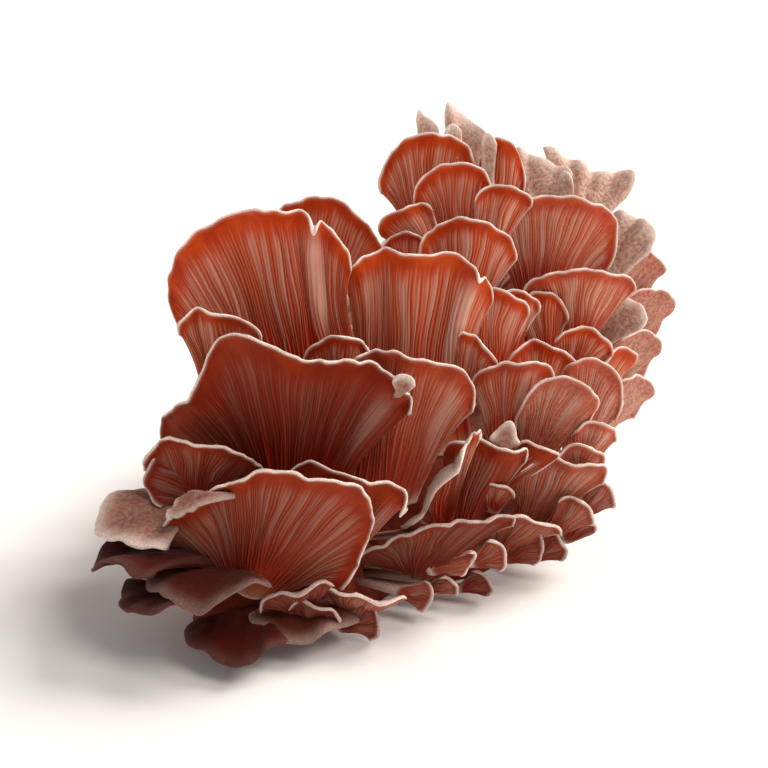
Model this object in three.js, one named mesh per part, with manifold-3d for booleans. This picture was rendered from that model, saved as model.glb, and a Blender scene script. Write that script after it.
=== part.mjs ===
// A cluster of pink oyster mushrooms, cut from its log and standing on the cut face of its base.
// Each mushroom is one solid: a short stem that flares into a ruffled fan, with gills on the face
// that looks outwards. The fused stems in the middle are one more solid, the base, with the small
// caps that sprout along its low front edge and on its rear.
// Millimetres, +Z up, -Y towards the viewer, origin at the middle of the cut face.
import * as THREE from 'three';
import Module from 'manifold-3d';

const wasm = await Module();
wasm.setup();
const { Manifold, Mesh: SolidMesh } = wasm;

// Flesh sizes that every mushroom shares.
const RIM_HALF = 0.75; // half the thickness of a cap's margin
const STEM_SHARE = 0.08; // half thickness of a stem, as a share of the mushroom's length
const STEM_HALF_MIN = 1.6;
const STEM_HALF_MAX = 4.5;
const STEM_WIDTH_SHARE = 0.13; // half width of a stem, unless the mushroom gives its own
const THINNING = 1.6; // how fast the flesh thins from stem to margin
const GILL_PITCH = 18; // spacing of the gills round the margin, coarser than life
const GILL_COUNT_MIN = 3;
const GILL_COUNT_MAX = 7;
const SMALL_COLUMNS = 3; // a small cap's face stays smooth
const GILL_DEPTH_SHARE = 0.025; // height of a gill, as a share of the mushroom's length
const GILL_RISE = 0.16; // where along the fan the gills have reached their height
const GILL_FADE = 0.75; // where they start to die away
const GILL_END = 0.9; // where they are gone, just inside the margin
const BOW_POWER = 2.5; // the fan first runs straight up, then flares like a trumpet
const BOW_DEEPEST = 0.326; // largest value of t - t^BOW_POWER
const GAP = 0.5; // clearance between two neighbours
const SHIFTS = [[GAP, 0, 0], [-GAP, 0, 0], [0, GAP, 0], [0, -GAP, 0], [0, 0, GAP], [0, 0, -GAP]];

// The base: two mounds of fused stems that taper and lean back. middle: where on the cut face.
// long and short: half sizes of the cut face. turn: degrees. lean: sideways shift for each millimetre up.
const MOUNDS = [
  { middle: [0, 0], long: 76, short: 40, turn: 26, height: 108, lean: [0.12, 0.6] },
  { middle: [-36, -44], long: 44, short: 26, turn: 40, height: 58, lean: [0, 0.3] },
];
const MOUND_TAPER = 1.3;
const MOUND_ROUNDING = 0.7;
const MOUND_RING = 20;
const MOUND_LEVELS = 6;
const MOUND_LUMP = 0.05; // unevenness of the skin
const ROOT_DEPTH = 14; // how far a stem runs on under the base's skin, at least

// Caps on the rear, by turns low and high, that look outwards from the base.
const REAR_COUNT = 6;
const REAR_FROM = 55; // degrees round the larger mound
const REAR_STEP = 26;
const REAR_LENGTH = 50;
const REAR_FEET = [10, 42]; // low and high by turns
const REAR_RISE = 0.8; // share of the length that goes up; the rest goes outwards

// Small young caps that cover the rear in rows, each between two of the row below. from and to: degrees
// round the mound. heights: one for each row.
const YOUNG = [
  { mound: 0, from: 52, to: 200, heights: [8, 32, 56, 80], length: 30, seed: 23 },
  { mound: 0, from: 24, to: 58, heights: [52], length: 28, seed: 41 },
  { mound: 0, from: 198, to: 245, heights: [70], length: 28, seed: 43 },
  { mound: 1, from: 110, to: 225, heights: [8, 28], length: 24, seed: 31 },
];
const YOUNG_GAP = 26; // along a row
const YOUNG_RISE = 0.78; // share of the length that goes up
const YOUNG_DROOP = 0.5; // how far their gills look down

const PINK = 0xc0582f;
const FLESH = 0xd9b8a4;

// Each mushroom: foot and crown are where the gills meet and the middle of the margin.
// faces: which way the gills look. left and right: spread of the fan in degrees, seen from the gills.
// rim: length of the fan at even steps from its left side to its right, as a share of its length.
// cup: how far the two sides bend back, in radians. bow: hollow of the fan's profile.
// wave: number, height and phase of the ruffles across the fan. stem: half width at the foot.
const TOWARDS = [0, -1, 0];
const DOWN = [0, -0.25, -1];
const UNDER = [0, 0.15, -1];
const AWAY = [0, 1, 0];
const SIDEWAYS = [0.5, -0.8, -0.2];
const EVEN = [0.85, 1, 0.85];
const MUSHROOMS = [
  // The tongue at the front left, nearest the viewer.
  { name: 'fore_low', foot: [-51, -74, 18], crown: [-37, -86, 70], left: 74, right: 78,
    rim: [0.74, 0.66, 0.74, 0.96, 1.02, 0.8, 0.6], cup: 0.75, bow: 4, wave: [2, 3, 0.6] },
  { name: 'fore_high', foot: [-40, -45, 37], crown: [-34, -59, 96], left: 84, right: 50, stem: 16,
    rim: [0.9, 0.88, 0.86, 1.09, 1, 0.98, 1.02, 1.01, 0.96], cup: 0.7, bow: 4, wave: [3, 2.5, 1.2] },
  { name: 'fore_right', foot: [-36, -60, 7], crown: [-13, -70, 57], left: 30, right: 20,
    rim: [0.95, 0.97, 1, 1.04, 1.1], cup: 0.8, bow: 4, wave: [2, 2, 2.5] },
  { name: 'left_small', foot: [-71, -56, 40], crown: [-65, -68, 69], left: 60, right: 62,
    rim: [0.72, 0.85, 0.95, 1, 1, 0.92, 0.8], cup: 0.6, bow: 2, wave: [2, 1.5, 0.5] },
  { name: 'left_shelf', foot: [-73, -58, 37], crown: [-100, -71, 40], faces: UNDER, left: 56, right: 60,
    rim: [0.8, 1, 0.9], cup: 0.5, bow: 3, wave: [2, 2, 1] },
  { name: 'left_shelf_low', foot: [-63, -68, 26], crown: [-100, -78, 32], faces: DOWN, left: 40, right: 46,
    rim: [0.9, 1, 0.9], cup: 0.4, bow: 2, wave: [2, 1.5, 2] },
  { name: 'fore_lip', foot: [-56, -73, 24], crown: [-72, -98, 29], faces: DOWN, left: 60, right: 66,
    rim: [0.9, 1, 1], cup: 0.4, bow: 2, wave: [2, 1.5, 0] },
  { name: 'low_left_shelf', foot: [-60, -70, 16], crown: [-89, -89, 22], faces: DOWN, left: 50, right: 56,
    rim: [0.85, 1, 0.9], cup: 0.4, bow: 2, wave: [2, 1.5, 1] },
  { name: 'lowest', foot: [-49, -74, 10], crown: [-57, -100, 9], faces: DOWN, left: 62, right: 50,
    rim: [0.9, 1, 0.9], cup: 0.3, bow: 1, wave: [2, 1, 1] },
  { name: 'lowest_right', foot: [-34, -66, 9], crown: [-33, -90, 10], faces: DOWN, left: 55, right: 60,
    rim: [1, 1, 1], cup: 0.4, bow: 2, wave: [2, 1, 2] },
  // The tall fans at the upper left and in the middle.
  { name: 'upper_left', foot: [-38, -13, 54], crown: [-50, -23, 135], left: 46, right: 28, stem: 34,
    rim: [0.78, 0.94, 1, 0.95, 0.82], cup: 0.8, bow: 5, wave: [3, 2.5, 0.3] },
  { name: 'upper_left_back', foot: [-33, 18, 88], crown: [-29, 11, 133], left: 35, right: 50,
    rim: [0.85, 1, 0.72], cup: 0.5, bow: 2, wave: [2, 1.5, 0] },
  { name: 'left_tucked', foot: [-64, -32, 67], crown: [-65, -42, 105], left: 20, right: 34,
    rim: [0.93, 1, 0.84], cup: 0.5, bow: 2, wave: [2, 1.5, 1] },
  { name: 'middle', foot: [0, -8, 38], crown: [2, -13, 118], left: 20, right: 31, stem: 30,
    rim: [0.94, 1, 1, 0.99, 0.92], cup: 0.8, bow: 5, wave: [3, 2.5, 2] },
  { name: 'tucked_bit', foot: [-23, -29, 61], crown: [-22, -35, 94], left: 30, right: 28,
    rim: EVEN, cup: 0.4, bow: 2, wave: [2, 1, 1] },
  { name: 'middle_low', foot: [-7, -34, 32], crown: [0, -42, 90], left: 20, right: 38, stem: 12,
    rim: [0.98, 1, 1, 0.97, 0.88], cup: 0.7, bow: 3, wave: [2, 2, 1] },
  // The crest.
  { name: 'crest_left', foot: [11, 56, 105], crown: [11, 50, 152], left: 42, right: 34,
    rim: [0.7, 1, 0.83], cup: 0.6, bow: 3, wave: [2, 2, 1] },
  { name: 'crest_mid', foot: [24, 38, 97], crown: [21, 33, 143], left: 32, right: 24,
    rim: [0.82, 1, 0.82], cup: 0.6, bow: 3, wave: [2, 1.5, 1] },
  { name: 'crest_left_lobe', foot: [21, 33, 94], crown: [-1, 28, 126], left: 22, right: 18,
    rim: [1, 1, 0.9], cup: 0.4, bow: 2, wave: [2, 1, 1] },
  { name: 'crest_right_lobe', foot: [31, 33, 98], crown: [41, 29, 134], left: 22, right: 20,
    rim: [0.9, 1, 1], cup: 0.5, bow: 2, wave: [2, 1, 1] },
  { name: 'crest_folded', foot: [38, 56, 100], crown: [41, 53, 149], left: 15, right: 24,
    rim: [0.85, 1, 0.65], cup: 1.2, bow: 2, wave: [2, 1, 1] },
  { name: 'shoulder', foot: [23, 17, 80], crown: [21, 13, 125], left: 30, right: 42,
    rim: [0.8, 1, 0.84], cup: 0.7, bow: 3, wave: [2, 2, 1] },
  { name: 'shoulder_bit', foot: [2, 24, 90], crown: [1, 23, 118], left: 30, right: 24,
    rim: [0.8, 1, 0.8], cup: 0.4, bow: 2, wave: [2, 1, 1] },
  { name: 'crest_tip_left', foot: [12, 64, 126], crown: [9, 70, 159], faces: AWAY, left: 16, right: 7,
    rim: [0.72, 0.84, 0.93, 1, 0.82], cup: 0.8, bow: 1, wave: [1, 1, 1] },
  { name: 'crest_tip', foot: [27, 63, 117], crown: [23, 71, 161], faces: AWAY, left: 24, right: 9,
    rim: [0.74, 0.8, 0.89, 0.98, 1, 0.82], cup: 0.9, bow: 2, wave: [1.5, 1.5, 2] },
  // The right flank, in rows from the crest down.
  { name: 'right_crest', foot: [57, 39, 82], crown: [63, 32, 130], left: 46, right: 52, stem: 8,
    rim: [0.86, 0.95, 1, 0.98, 0.72], cup: 0.6, bow: 4, wave: [2, 2, 1] },
  { name: 'right_mid', foot: [70, 30, 67], crown: [67, 22, 103], left: 46, right: 52,
    rim: [0.95, 0.99, 1, 1, 1.02], cup: 0.6, bow: 3, wave: [2, 2, 0] },
  { name: 'right_corner', foot: [80, 38, 67], crown: [95, 30, 87], faces: [0.5, 1, -0.5], left: 24, right: 28,
    rim: [0.95, 1, 0.95, 1], cup: 0.5, bow: 1, wave: [2, 1.6, 0] },
  { name: 'right_shadow', foot: [59, 25, 63], crown: [54, 23, 94], left: 26, right: 30,
    rim: [0.85, 1, 0.7], cup: 0.4, bow: 2, wave: [2, 1, 0] },
  { name: 'right_fill', foot: [55, 46, 52], crown: [62, 50, 98], left: 34, right: 30,
    rim: EVEN, cup: 0.5, bow: 2, wave: [2, 1, 0] },
  { name: 'right_low', foot: [65, 17, 55], crown: [73, 10, 82], left: 32, right: 32,
    rim: [0.9, 1, 0.9], cup: 0.4, bow: 2, wave: [2, 1, 0] },
  { name: 'slot_top', foot: [41, 11, 70], crown: [45, 10, 98], left: 24, right: 24,
    rim: [0.9, 1, 0.85], cup: 0.5, bow: 2, wave: [2, 1, 0] },
  { name: 'slot', foot: [33, 4, 58], crown: [37, 3, 100], left: 16, right: 20,
    rim: [0.95, 1, 0.9], cup: 0.4, bow: 2, wave: [2, 1, 0] },
  { name: 'slot_left', foot: [22, -6, 55], crown: [29, -11, 83], left: 18, right: 32,
    rim: [1.2, 1, 0.7], cup: 0.5, bow: 2, wave: [2, 1, 0] },
  { name: 'centre_right', foot: [39, -12, 40], crown: [41, -17, 79], left: 32, right: 28,
    rim: [0.85, 1, 0.95], cup: 0.6, bow: 3, wave: [2, 1.5, 0] },
  { name: 'centre_right_back', foot: [52, 4, 43], crown: [53, 1, 80], left: 28, right: 36,
    rim: [0.9, 1, 0.8], cup: 0.5, bow: 2, wave: [2, 1, 0] },
  { name: 'tongue', foot: [48, -13, 36], crown: [63, -22, 73], left: 45, right: 28,
    rim: [0.42, 0.85, 1, 0.93, 0.7], cup: 0.5, bow: 2, wave: [2, 1, 0] },
  { name: 'wing', foot: [68, 3, 30], crown: [76, 0, 73], left: 22, right: 30,
    rim: [0.95, 1, 0.6], cup: 0.4, bow: 2, wave: [2, 1, 0] },
  { name: 'wing_back', foot: [72, 20, 34], crown: [90, 21, 71], faces: [0.7, -0.7, 0], left: 20, right: 26,
    rim: [0.9, 1, 0.8], cup: 0.4, bow: 2, wave: [2, 1, 0] },
  { name: 'low_bit', foot: [68, -16, 33], crown: [72, -19, 56], left: 28, right: 30,
    rim: EVEN, cup: 0.4, bow: 2, wave: [2, 1, 0] },
  { name: 'low_rim', foot: [64, -23, 26], crown: [64, -29, 51], left: 28, right: 30,
    rim: EVEN, cup: 0.4, bow: 2, wave: [2, 1, 0] },
  { name: 'trumpet', foot: [18, -34, 8], crown: [31, -45, 58], left: 22, right: 18,
    rim: [0.94, 1, 1, 1.02], cup: 0.9, bow: 3, wave: [2, 1.5, 0] },
  { name: 'ribbon', foot: [13, -48, 27], crown: [18, -54, 63], left: 104, right: 10, stem: 3,
    rim: [0.42, 0.34, 0.42, 1, 1.08, 1.16, 1.2], cup: 0.5, bow: 1, wave: [2, 0.6, 0] },
  { name: 'long_low', foot: [4, -56, 13], crown: [15, -67, 40], left: 112, right: 28,
    rim: [0.9, 0.66, 0.58, 0.66, 1, 1.12, 1.24, 1.4, 1.5], cup: 0.4, bow: 2, wave: [2, 1, 0] },
  { name: 'low_right', foot: [33, -40, 12], crown: [44, -50, 32], left: 40, right: 30,
    rim: [0.75, 0.9, 1, 1.1, 1.2], cup: 0.4, bow: 2, wave: [2, 1, 0] },
  { name: 'flank', foot: [46, -26, 14], crown: [58, -36, 48], left: 40, right: 30,
    rim: [0.65, 0.9, 1, 1.1, 1.06], cup: 0.5, bow: 2, wave: [2, 1, 0] },
  // Caps behind the crest, whose downy tops show over it, and the far right side.
  { name: 'back_1', foot: [59, 64, 108], crown: [54, 80, 141], faces: AWAY, left: 38, right: 14,
    rim: [0.82, 0.84, 0.9, 1, 1.02, 0.85], cup: 0.5, bow: 1, wave: [3, 1.2, 0.6] },
  { name: 'back_2', foot: [75, 68, 104], crown: [84, 88, 131], faces: AWAY, left: 34, right: 38,
    rim: [1, 1.22, 1.08, 1, 1.06, 1.16, 1.36], cup: 0.5, bow: 1, wave: [4, 1.8, 1.5] },
  { name: 'back_3', foot: [84, 52, 86], crown: [100, 61, 116], faces: [0.6, 0.8, 0], left: 30, right: 27,
    rim: [0.78, 0.95, 0.96, 1.02, 0.9], cup: 0.6, bow: 1, wave: [3, 1.6, 0.4] },
  { name: 'far_1', foot: [76, 60, 54], crown: [113, 75, 95], faces: SIDEWAYS, left: 22, right: 22,
    rim: EVEN, cup: 0.5, bow: 2, wave: [2, 1.5, 0] },
  { name: 'far_2', foot: [78, 52, 44], crown: [118, 68, 80], faces: SIDEWAYS, left: 22, right: 22,
    rim: EVEN, cup: 0.5, bow: 2, wave: [2, 1.5, 0] },
  { name: 'far_3', foot: [76, 42, 34], crown: [111, 56, 64], faces: SIDEWAYS, left: 24, right: 24,
    rim: EVEN, cup: 0.5, bow: 2, wave: [2, 1.5, 0] },
  { name: 'far_4', foot: [74, 28, 22], crown: [105, 42, 50], faces: SIDEWAYS, left: 24, right: 24,
    rim: EVEN, cup: 0.5, bow: 2, wave: [2, 1.5, 0] },
];

// Small caps like scales between the large ones and along the low front edge, grown fast to the base.
const SCALES = [
  { foot: [33, -30, 34], crown: [48, -38, 54], left: 18, right: 28,
    rim: [0.85, 0.95, 1, 1.12, 1.08, 0.6], cup: 0.7, bow: 2, wave: [1, 1, 0] },
  { foot: [32, -38, 29], crown: [35, -42, 41], left: 42, right: 34,
    rim: EVEN, cup: 0.7, bow: 1, wave: [1, 0.5, 0] },
  { foot: [-18, -74, 8], crown: [-13, -81, 20], left: 66, right: 40,
    rim: [1, 0.92, 1, 1.25, 1.55], cup: 0.4, bow: 0.8, wave: [2, 0.6, 5] },
  { foot: [54, -33, 17], crown: [64, -37, 33], left: 26, right: 40,
    rim: [0.8, 1, 0.9], cup: 0.5, bow: 0.6, wave: [2, 0.5, 1] },
  { foot: [66, -24, 20], crown: [75, -26, 34], left: 26, right: 40,
    rim: [0.9, 1, 0.85], cup: 0.5, bow: 0.6, wave: [2, 0.5, 2] },
  { foot: [46, -36, 9], crown: [58, -40, 18], left: 40, right: 36,
    rim: [1, 1, 0.8], cup: 0.5, bow: 0.6, wave: [2, 0.5, 2] },
  { foot: [60, -28, 12], crown: [70, -30, 22], left: 40, right: 30,
    rim: [0.9, 1, 0.8], cup: 0.5, bow: 0.6, wave: [2, 0.5, 3] },
  { foot: [-34, -78, 13], crown: [-38, -88, 26], left: 50, right: 62,
    rim: [1, 0.95, 1, 1.1], cup: 0.4, bow: 0.8, wave: [2, 0.6, 1] },
];

const clamp = THREE.MathUtils.clamp;
const smoothstep = THREE.MathUtils.smoothstep;
const vector = (values) => new THREE.Vector3(...values);

// Radius of a mound's cut face, by direction.
function moundRadius(mound, angle) {
  const turned = angle - THREE.MathUtils.degToRad(mound.turn);
  return 1 / Math.hypot(Math.cos(turned) / mound.long, Math.sin(turned) / mound.short);
}

// A mound's leaning axis at some height.
function moundAxis(mound, height) {
  const [x, y] = mound.middle;
  return new THREE.Vector3(x + mound.lean[0] * height, y + mound.lean[1] * height, height);
}

// Size of a mound's outline at some height, as a share of its cut face.
function moundShare(mound, height) {
  return (1 - clamp(height / mound.height, 0, 1) ** MOUND_TAPER) ** MOUND_ROUNDING;
}

function insideMound(mound, point) {
  const side = point.clone().sub(moundAxis(mound, point.z));
  const radius = moundRadius(mound, Math.atan2(side.y, side.x)) * moundShare(mound, point.z);
  return Math.hypot(side.x, side.y) < radius;
}

// Where a stem ends: inside the nearer mound, as far under its skin as the foot stands outside it, or more.
function rootOf(foot) {
  const middles = MOUNDS.map((mound) => moundAxis(mound, clamp(foot.z * 0.6, 8, mound.height / 2)));
  const nearest = middles[0].distanceTo(foot) < middles[1].distanceTo(foot) ? 0 : 1;
  const inward = middles[nearest].clone().sub(foot).normalize();
  const reach = foot.distanceTo(middles[nearest]);
  const step = 0.5;
  let run = 0;
  while (run < reach && !insideMound(MOUNDS[nearest], foot.clone().addScaledVector(inward, run))) run += step;
  return foot.clone().addScaledVector(inward, Math.min(2 * run, reach) + ROOT_DEPTH);
}

// The frame and derived sizes of one mushroom.
function plan(row) {
  const foot = vector(row.foot);
  const crown = vector(row.crown);
  const length = foot.distanceTo(crown);
  const along = crown.clone().sub(foot).normalize();
  const outward = vector(row.faces ?? TOWARDS);
  outward.addScaledVector(along, -outward.dot(along)).normalize();
  const left = THREE.MathUtils.degToRad(row.left);
  const right = THREE.MathUtils.degToRad(row.right);
  const gills = Math.round((length * (left + right)) / GILL_PITCH);
  return {
    ...row, foot, length, along, outward, left, right,
    across: new THREE.Vector3().crossVectors(along, outward),
    halfSpan: length * Math.sin(Math.min(Math.max(left, right), Math.PI / 2)),
    stemHalf: clamp(length * STEM_SHARE, STEM_HALF_MIN, STEM_HALF_MAX),
    stemWidth: row.stem ?? length * STEM_WIDTH_SHARE,
    columns: row.small ? SMALL_COLUMNS : 2 * clamp(gills, GILL_COUNT_MIN, GILL_COUNT_MAX),
    gillDepth: row.small ? 0 : length * GILL_DEPTH_SHARE,
    root: rootOf(foot),
  };
}

// The fan's length at u: a smooth curve through the rim's values.
function rimReach(rim, u) {
  const place = ((u + 1) / 2) * (rim.length - 1);
  const k = clamp(Math.floor(place), 0, rim.length - 2);
  const f = place - k;
  const from = rim[k];
  const to = rim[k + 1];
  const slopeFrom = (to - (rim[k - 1] ?? 2 * from - to)) / 2;
  const slopeTo = ((rim[k + 2] ?? 2 * to - from) - from) / 2;
  const turn = 2 * from - 2 * to + slopeFrom + slopeTo;
  return from + f * (slopeFrom + f * (3 * (to - from) - 2 * slopeFrom - slopeTo + f * turn));
}

// A point of the fan's middle surface: u runs across it from -1 to 1, t from the foot to the margin.
function fanPoint(m, u, t) {
  const angle = u * (u < 0 ? m.left : m.right);
  const radius = t * m.length * rimReach(m.rim, u);
  const flat = radius * Math.sin(angle) + m.stemWidth * u * (1 - t) ** 2;
  const bend = m.halfSpan / m.cup;
  const [ruffles, height, phase] = m.wave;
  const out = -bend * (1 - Math.cos(flat / bend))
    + (m.bow * (t ** BOW_POWER - t)) / BOW_DEEPEST
    + height * t * t * Math.sin(ruffles * Math.PI * u + phase);
  return m.foot.clone()
    .addScaledVector(m.along, radius * Math.cos(angle))
    .addScaledVector(m.across, bend * Math.sin(flat / bend))
    .addScaledVector(m.outward, out);
}

function fanNormal(m, u, t) {
  const step = 1e-3;
  const acrossStep = fanPoint(m, u + step, t).sub(fanPoint(m, u - step, t));
  const alongStep = fanPoint(m, u, t + step).sub(fanPoint(m, u, t - step));
  return acrossStep.cross(alongStep).normalize();
}

// Half the flesh at a point: an oval stem that thins to a flat fan with a blunt margin.
function halfFlesh(m, u, t) {
  const left = 1 - Math.min(t, 1);
  const middle = (m.stemHalf - RIM_HALF) * left ** THINNING;
  return RIM_HALF + middle * Math.max(1 - u * u, 0) ** (0.5 * left);
}

function gillHeight(m, t) {
  return m.gillDepth * smoothstep(t, 0, GILL_RISE) * (1 - smoothstep(t, GILL_FADE, GILL_END));
}

// Stations from the foot to the margin: more on a broad fan.
function stationsOf(m) {
  if (m.small) return [0, 0.62, 1];
  return m.columns > 12 ? [0, 0.32, 0.64, 0.9, 1] : [0, 0.45, 0.88, 1];
}

// One mushroom as a closed solid: two faces split into triangles alike, a blunt edge and a pointed root.
// Grown by some clearance, with its gills as one smooth face, it is what a neighbour is cut back with.
function mushroomSolid(m, grow = 0) {
  const points = [];
  const triangles = [];
  const { columns } = m;
  const stations = stationsOf(m);
  const rows = stations.length;
  const last = rows - 1;
  for (const side of [1, -1]) {
    for (let i = 0; i <= columns; i++) {
      const beyond = i === 0 || i === columns ? (2 * grow) / m.length : 0;
      const u = (-1 + (2 * i) / columns) * (1 + beyond);
      const ridge = side > 0 && (grow > 0 || i % 2 === 1) ? 1 : 0;
      for (let j = 0; j < rows; j++) {
        const t = stations[j] + (j === last ? grow / m.length : 0);
        const lift = halfFlesh(m, clamp(u, -1, 1), t) + ridge * gillHeight(m, t) + grow;
        const skin = fanPoint(m, u, t).addScaledVector(fanNormal(m, u, Math.max(t, 0.01)), side * lift);
        points.push(skin.x, skin.y, skin.z);
      }
    }
  }
  const inward = m.root.clone().sub(m.foot).normalize();
  const apex = m.root.clone().addScaledVector(inward, (grow * m.root.distanceTo(m.foot)) / m.stemHalf);
  points.push(apex.x, apex.y, apex.z);
  const tip = points.length / 3 - 1;
  const front = (i, j) => i * rows + j;
  const back = (i, j) => (columns + 1) * rows + i * rows + j;
  const quad = (a, b, c, d) => triangles.push(a, b, c, a, c, d);
  for (let i = 0; i < columns; i++) {
    for (let j = 0; j < last; j++) {
      quad(front(i, j), front(i + 1, j), front(i + 1, j + 1), front(i, j + 1));
      triangles.push(back(i, j), back(i + 1, j + 1), back(i + 1, j));
      triangles.push(back(i, j), back(i, j + 1), back(i + 1, j + 1));
    }
    quad(front(i, last), front(i + 1, last), back(i + 1, last), back(i, last));
    triangles.push(tip, front(i + 1, 0), front(i, 0), tip, back(i, 0), back(i + 1, 0));
  }
  for (let j = 0; j < last; j++) {
    quad(back(0, j), front(0, j), front(0, j + 1), back(0, j + 1));
    quad(front(columns, j), back(columns, j), back(columns, j + 1), front(columns, j + 1));
  }
  triangles.push(tip, front(0, 0), back(0, 0), tip, back(columns, 0), front(columns, 0));
  return solidFrom(points, triangles);
}

function solidFrom(points, triangles) {
  return new Manifold(new SolidMesh({
    numProp: 3,
    vertProperties: new Float32Array(points),
    triVerts: new Uint32Array(triangles),
  }));
}

// A mound as rings of points from the cut face to its top.
function moundSolid(mound, grow = 0) {
  const points = [...mound.middle, -grow];
  const triangles = [];
  for (let k = 0; k < MOUND_LEVELS; k++) {
    const height = mound.height * Math.sin((Math.PI / 2) * (k / MOUND_LEVELS));
    const axis = moundAxis(mound, height);
    for (let i = 0; i < MOUND_RING; i++) {
      const angle = (2 * Math.PI * i) / MOUND_RING;
      const lump = 1 + MOUND_LUMP * Math.sin(5 * angle + 2 * k);
      const radius = moundRadius(mound, angle) * moundShare(mound, height) * lump + grow;
      const floor = k === 0 ? -grow : height;
      points.push(axis.x + radius * Math.cos(angle), axis.y + radius * Math.sin(angle), floor);
    }
  }
  const summit = moundAxis(mound, mound.height + grow);
  points.push(summit.x, summit.y, summit.z);
  const top = points.length / 3 - 1;
  const at = (k, i) => 1 + k * MOUND_RING + (i % MOUND_RING);
  for (let i = 0; i < MOUND_RING; i++) {
    triangles.push(0, at(0, i + 1), at(0, i));
    for (let k = 0; k < MOUND_LEVELS - 1; k++) {
      triangles.push(at(k, i), at(k, i + 1), at(k + 1, i + 1), at(k, i), at(k + 1, i + 1), at(k + 1, i));
    }
    triangles.push(at(MOUND_LEVELS - 1, i), at(MOUND_LEVELS - 1, i + 1), top);
  }
  return solidFrom(points, triangles);
}

// A repeatable stream of numbers from 0 to 1.
function seeded(seed) {
  let state = seed;
  return () => {
    state = (state * 16807) % 2147483647;
    return state / 2147483647;
  };
}

// A place on a mound's skin and the level direction in which the skin looks there.
function standOn(mound, degrees, height) {
  const angle = THREE.MathUtils.degToRad(degrees);
  const turn = THREE.MathUtils.degToRad(mound.turn);
  const along = Math.cos(angle - turn) / mound.long ** 2;
  const aside = Math.sin(angle - turn) / mound.short ** 2;
  const facing = turn + Math.atan2(aside, along);
  const radius = moundRadius(mound, angle) * moundShare(mound, height);
  const foot = new THREE.Vector3(Math.cos(angle), Math.sin(angle), 0).multiplyScalar(radius);
  return {
    foot: foot.add(moundAxis(mound, height)),
    outward: new THREE.Vector3(Math.cos(facing), Math.sin(facing), 0),
  };
}

// The direction of a cap that rises by some share of its length and leans outwards with the rest.
function leaning(outward, rise) {
  return new THREE.Vector3(0, 0, rise).addScaledVector(outward, Math.sqrt(1 - rise ** 2));
}

// The caps of the rear, each turned the way the larger mound's skin looks.
function rearPlans() {
  const random = seeded(11);
  return Array.from({ length: REAR_COUNT }, (_, k) => {
    const { foot, outward } = standOn(MOUNDS[0], REAR_FROM + REAR_STEP * (k + 0.3 * random()), REAR_FEET[k % 2]);
    const length = REAR_LENGTH * (0.85 + 0.3 * random());
    const crown = foot.clone().addScaledVector(leaning(outward, REAR_RISE), length);
    return plan({
      name: `rear_${k + 1}`, foot: foot.toArray(), crown: crown.toArray(), faces: outward.toArray(),
      left: 44, right: 44, rim: [0.8, 1, 0.98, 0.8], cup: 0.7, bow: 4, wave: [2, 2, 6 * random()],
    });
  });
}

// The young caps of one stretch of a mound, row by row. They differ in place, size, lean and spread.
function youngPlans({ mound, from, to, heights, length: usual, seed }) {
  const random = seeded(seed);
  const host = MOUNDS[mound];
  const up = new THREE.Vector3(0, 0, 1);
  return heights.flatMap((height, level) => {
    const width = Math.sqrt(host.long * host.short) * moundShare(host, height);
    const count = Math.max(3, Math.round((width * THREE.MathUtils.degToRad(to - from)) / YOUNG_GAP));
    return Array.from({ length: count }, (_, k) => {
      const place = (k + 0.5 * (level % 2) + 0.5 * random()) / count;
      const { foot, outward } = standOn(host, from + (to - from) * place, height + 6 * random());
      const length = usual * (0.7 + 0.6 * random());
      const along = leaning(outward, YOUNG_RISE + 0.2 * (random() - 0.5));
      along.addScaledVector(up.clone().cross(outward), random() - 0.5).normalize();
      return plan({
        small: true, foot: foot.toArray(), crown: foot.clone().addScaledVector(along, length).toArray(),
        left: 32 + 26 * random(), right: 32 + 26 * random(), rim: [0.85, 1, 0.95, 0.8],
        cup: 0.9, bow: 2, wave: [2, 1, 6 * random()],
        faces: outward.clone().addScaledVector(up, -YOUNG_DROOP).toArray(),
      });
    });
  });
}

function largestPiece(solid) {
  return solid.decompose().sort((a, b) => b.volume() - a.volume())[0];
}

// What is left of a solid when its neighbours, grown by the clearance, are cut away.
function cutClear(solid, neighbours) {
  let left = solid;
  for (const neighbour of neighbours) {
    if (left.intersect(neighbour).volume() > 0) left = left.subtract(neighbour);
  }
  return left;
}

function meshOf(name, solid, colour) {
  const { vertProperties, triVerts } = solid.getMesh();
  const geometry = new THREE.BufferGeometry();
  geometry.setAttribute('position', new THREE.BufferAttribute(new Float32Array(vertProperties), 3));
  geometry.setIndex(new THREE.BufferAttribute(new Uint32Array(triVerts), 1));
  geometry.computeVertexNormals();
  const mesh = new THREE.Mesh(geometry, new THREE.MeshStandardMaterial({ color: colour, roughness: 0.6 }));
  mesh.name = name;
  return mesh;
}

const cluster = new THREE.Group();
const caps = [...MUSHROOMS.map(plan), ...rearPlans()];
const grownBase = MOUNDS.map((mound) => moundSolid(mound, GAP));
const grownCaps = [];
const capSolids = [];
for (const cap of caps) {
  const solid = cutClear(mushroomSolid(cap), [...grownBase, ...grownCaps]);
  cluster.add(meshOf(cap.name, largestPiece(solid), PINK));
  grownCaps.push(mushroomSolid(cap, GAP));
  capSolids.push(largestPiece(solid));
}
let base = moundSolid(MOUNDS[0]).add(moundSolid(MOUNDS[1]));
const smallCaps = [...SCALES.map((row) => plan({ ...row, small: true })), ...YOUNG.flatMap(youngPlans)];
for (const cap of smallCaps) {
  let solid = cutClear(mushroomSolid(cap), grownCaps);
  for (const other of capSolids) {
    if (solid.intersect(other).volume() > 0) solid = cutClear(solid, SHIFTS.map((shift) => other.translate(shift)));
  }
  base = base.add(solid);
}
cluster.add(meshOf('base', largestPiece(base), FLESH));

export default cluster;
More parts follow.
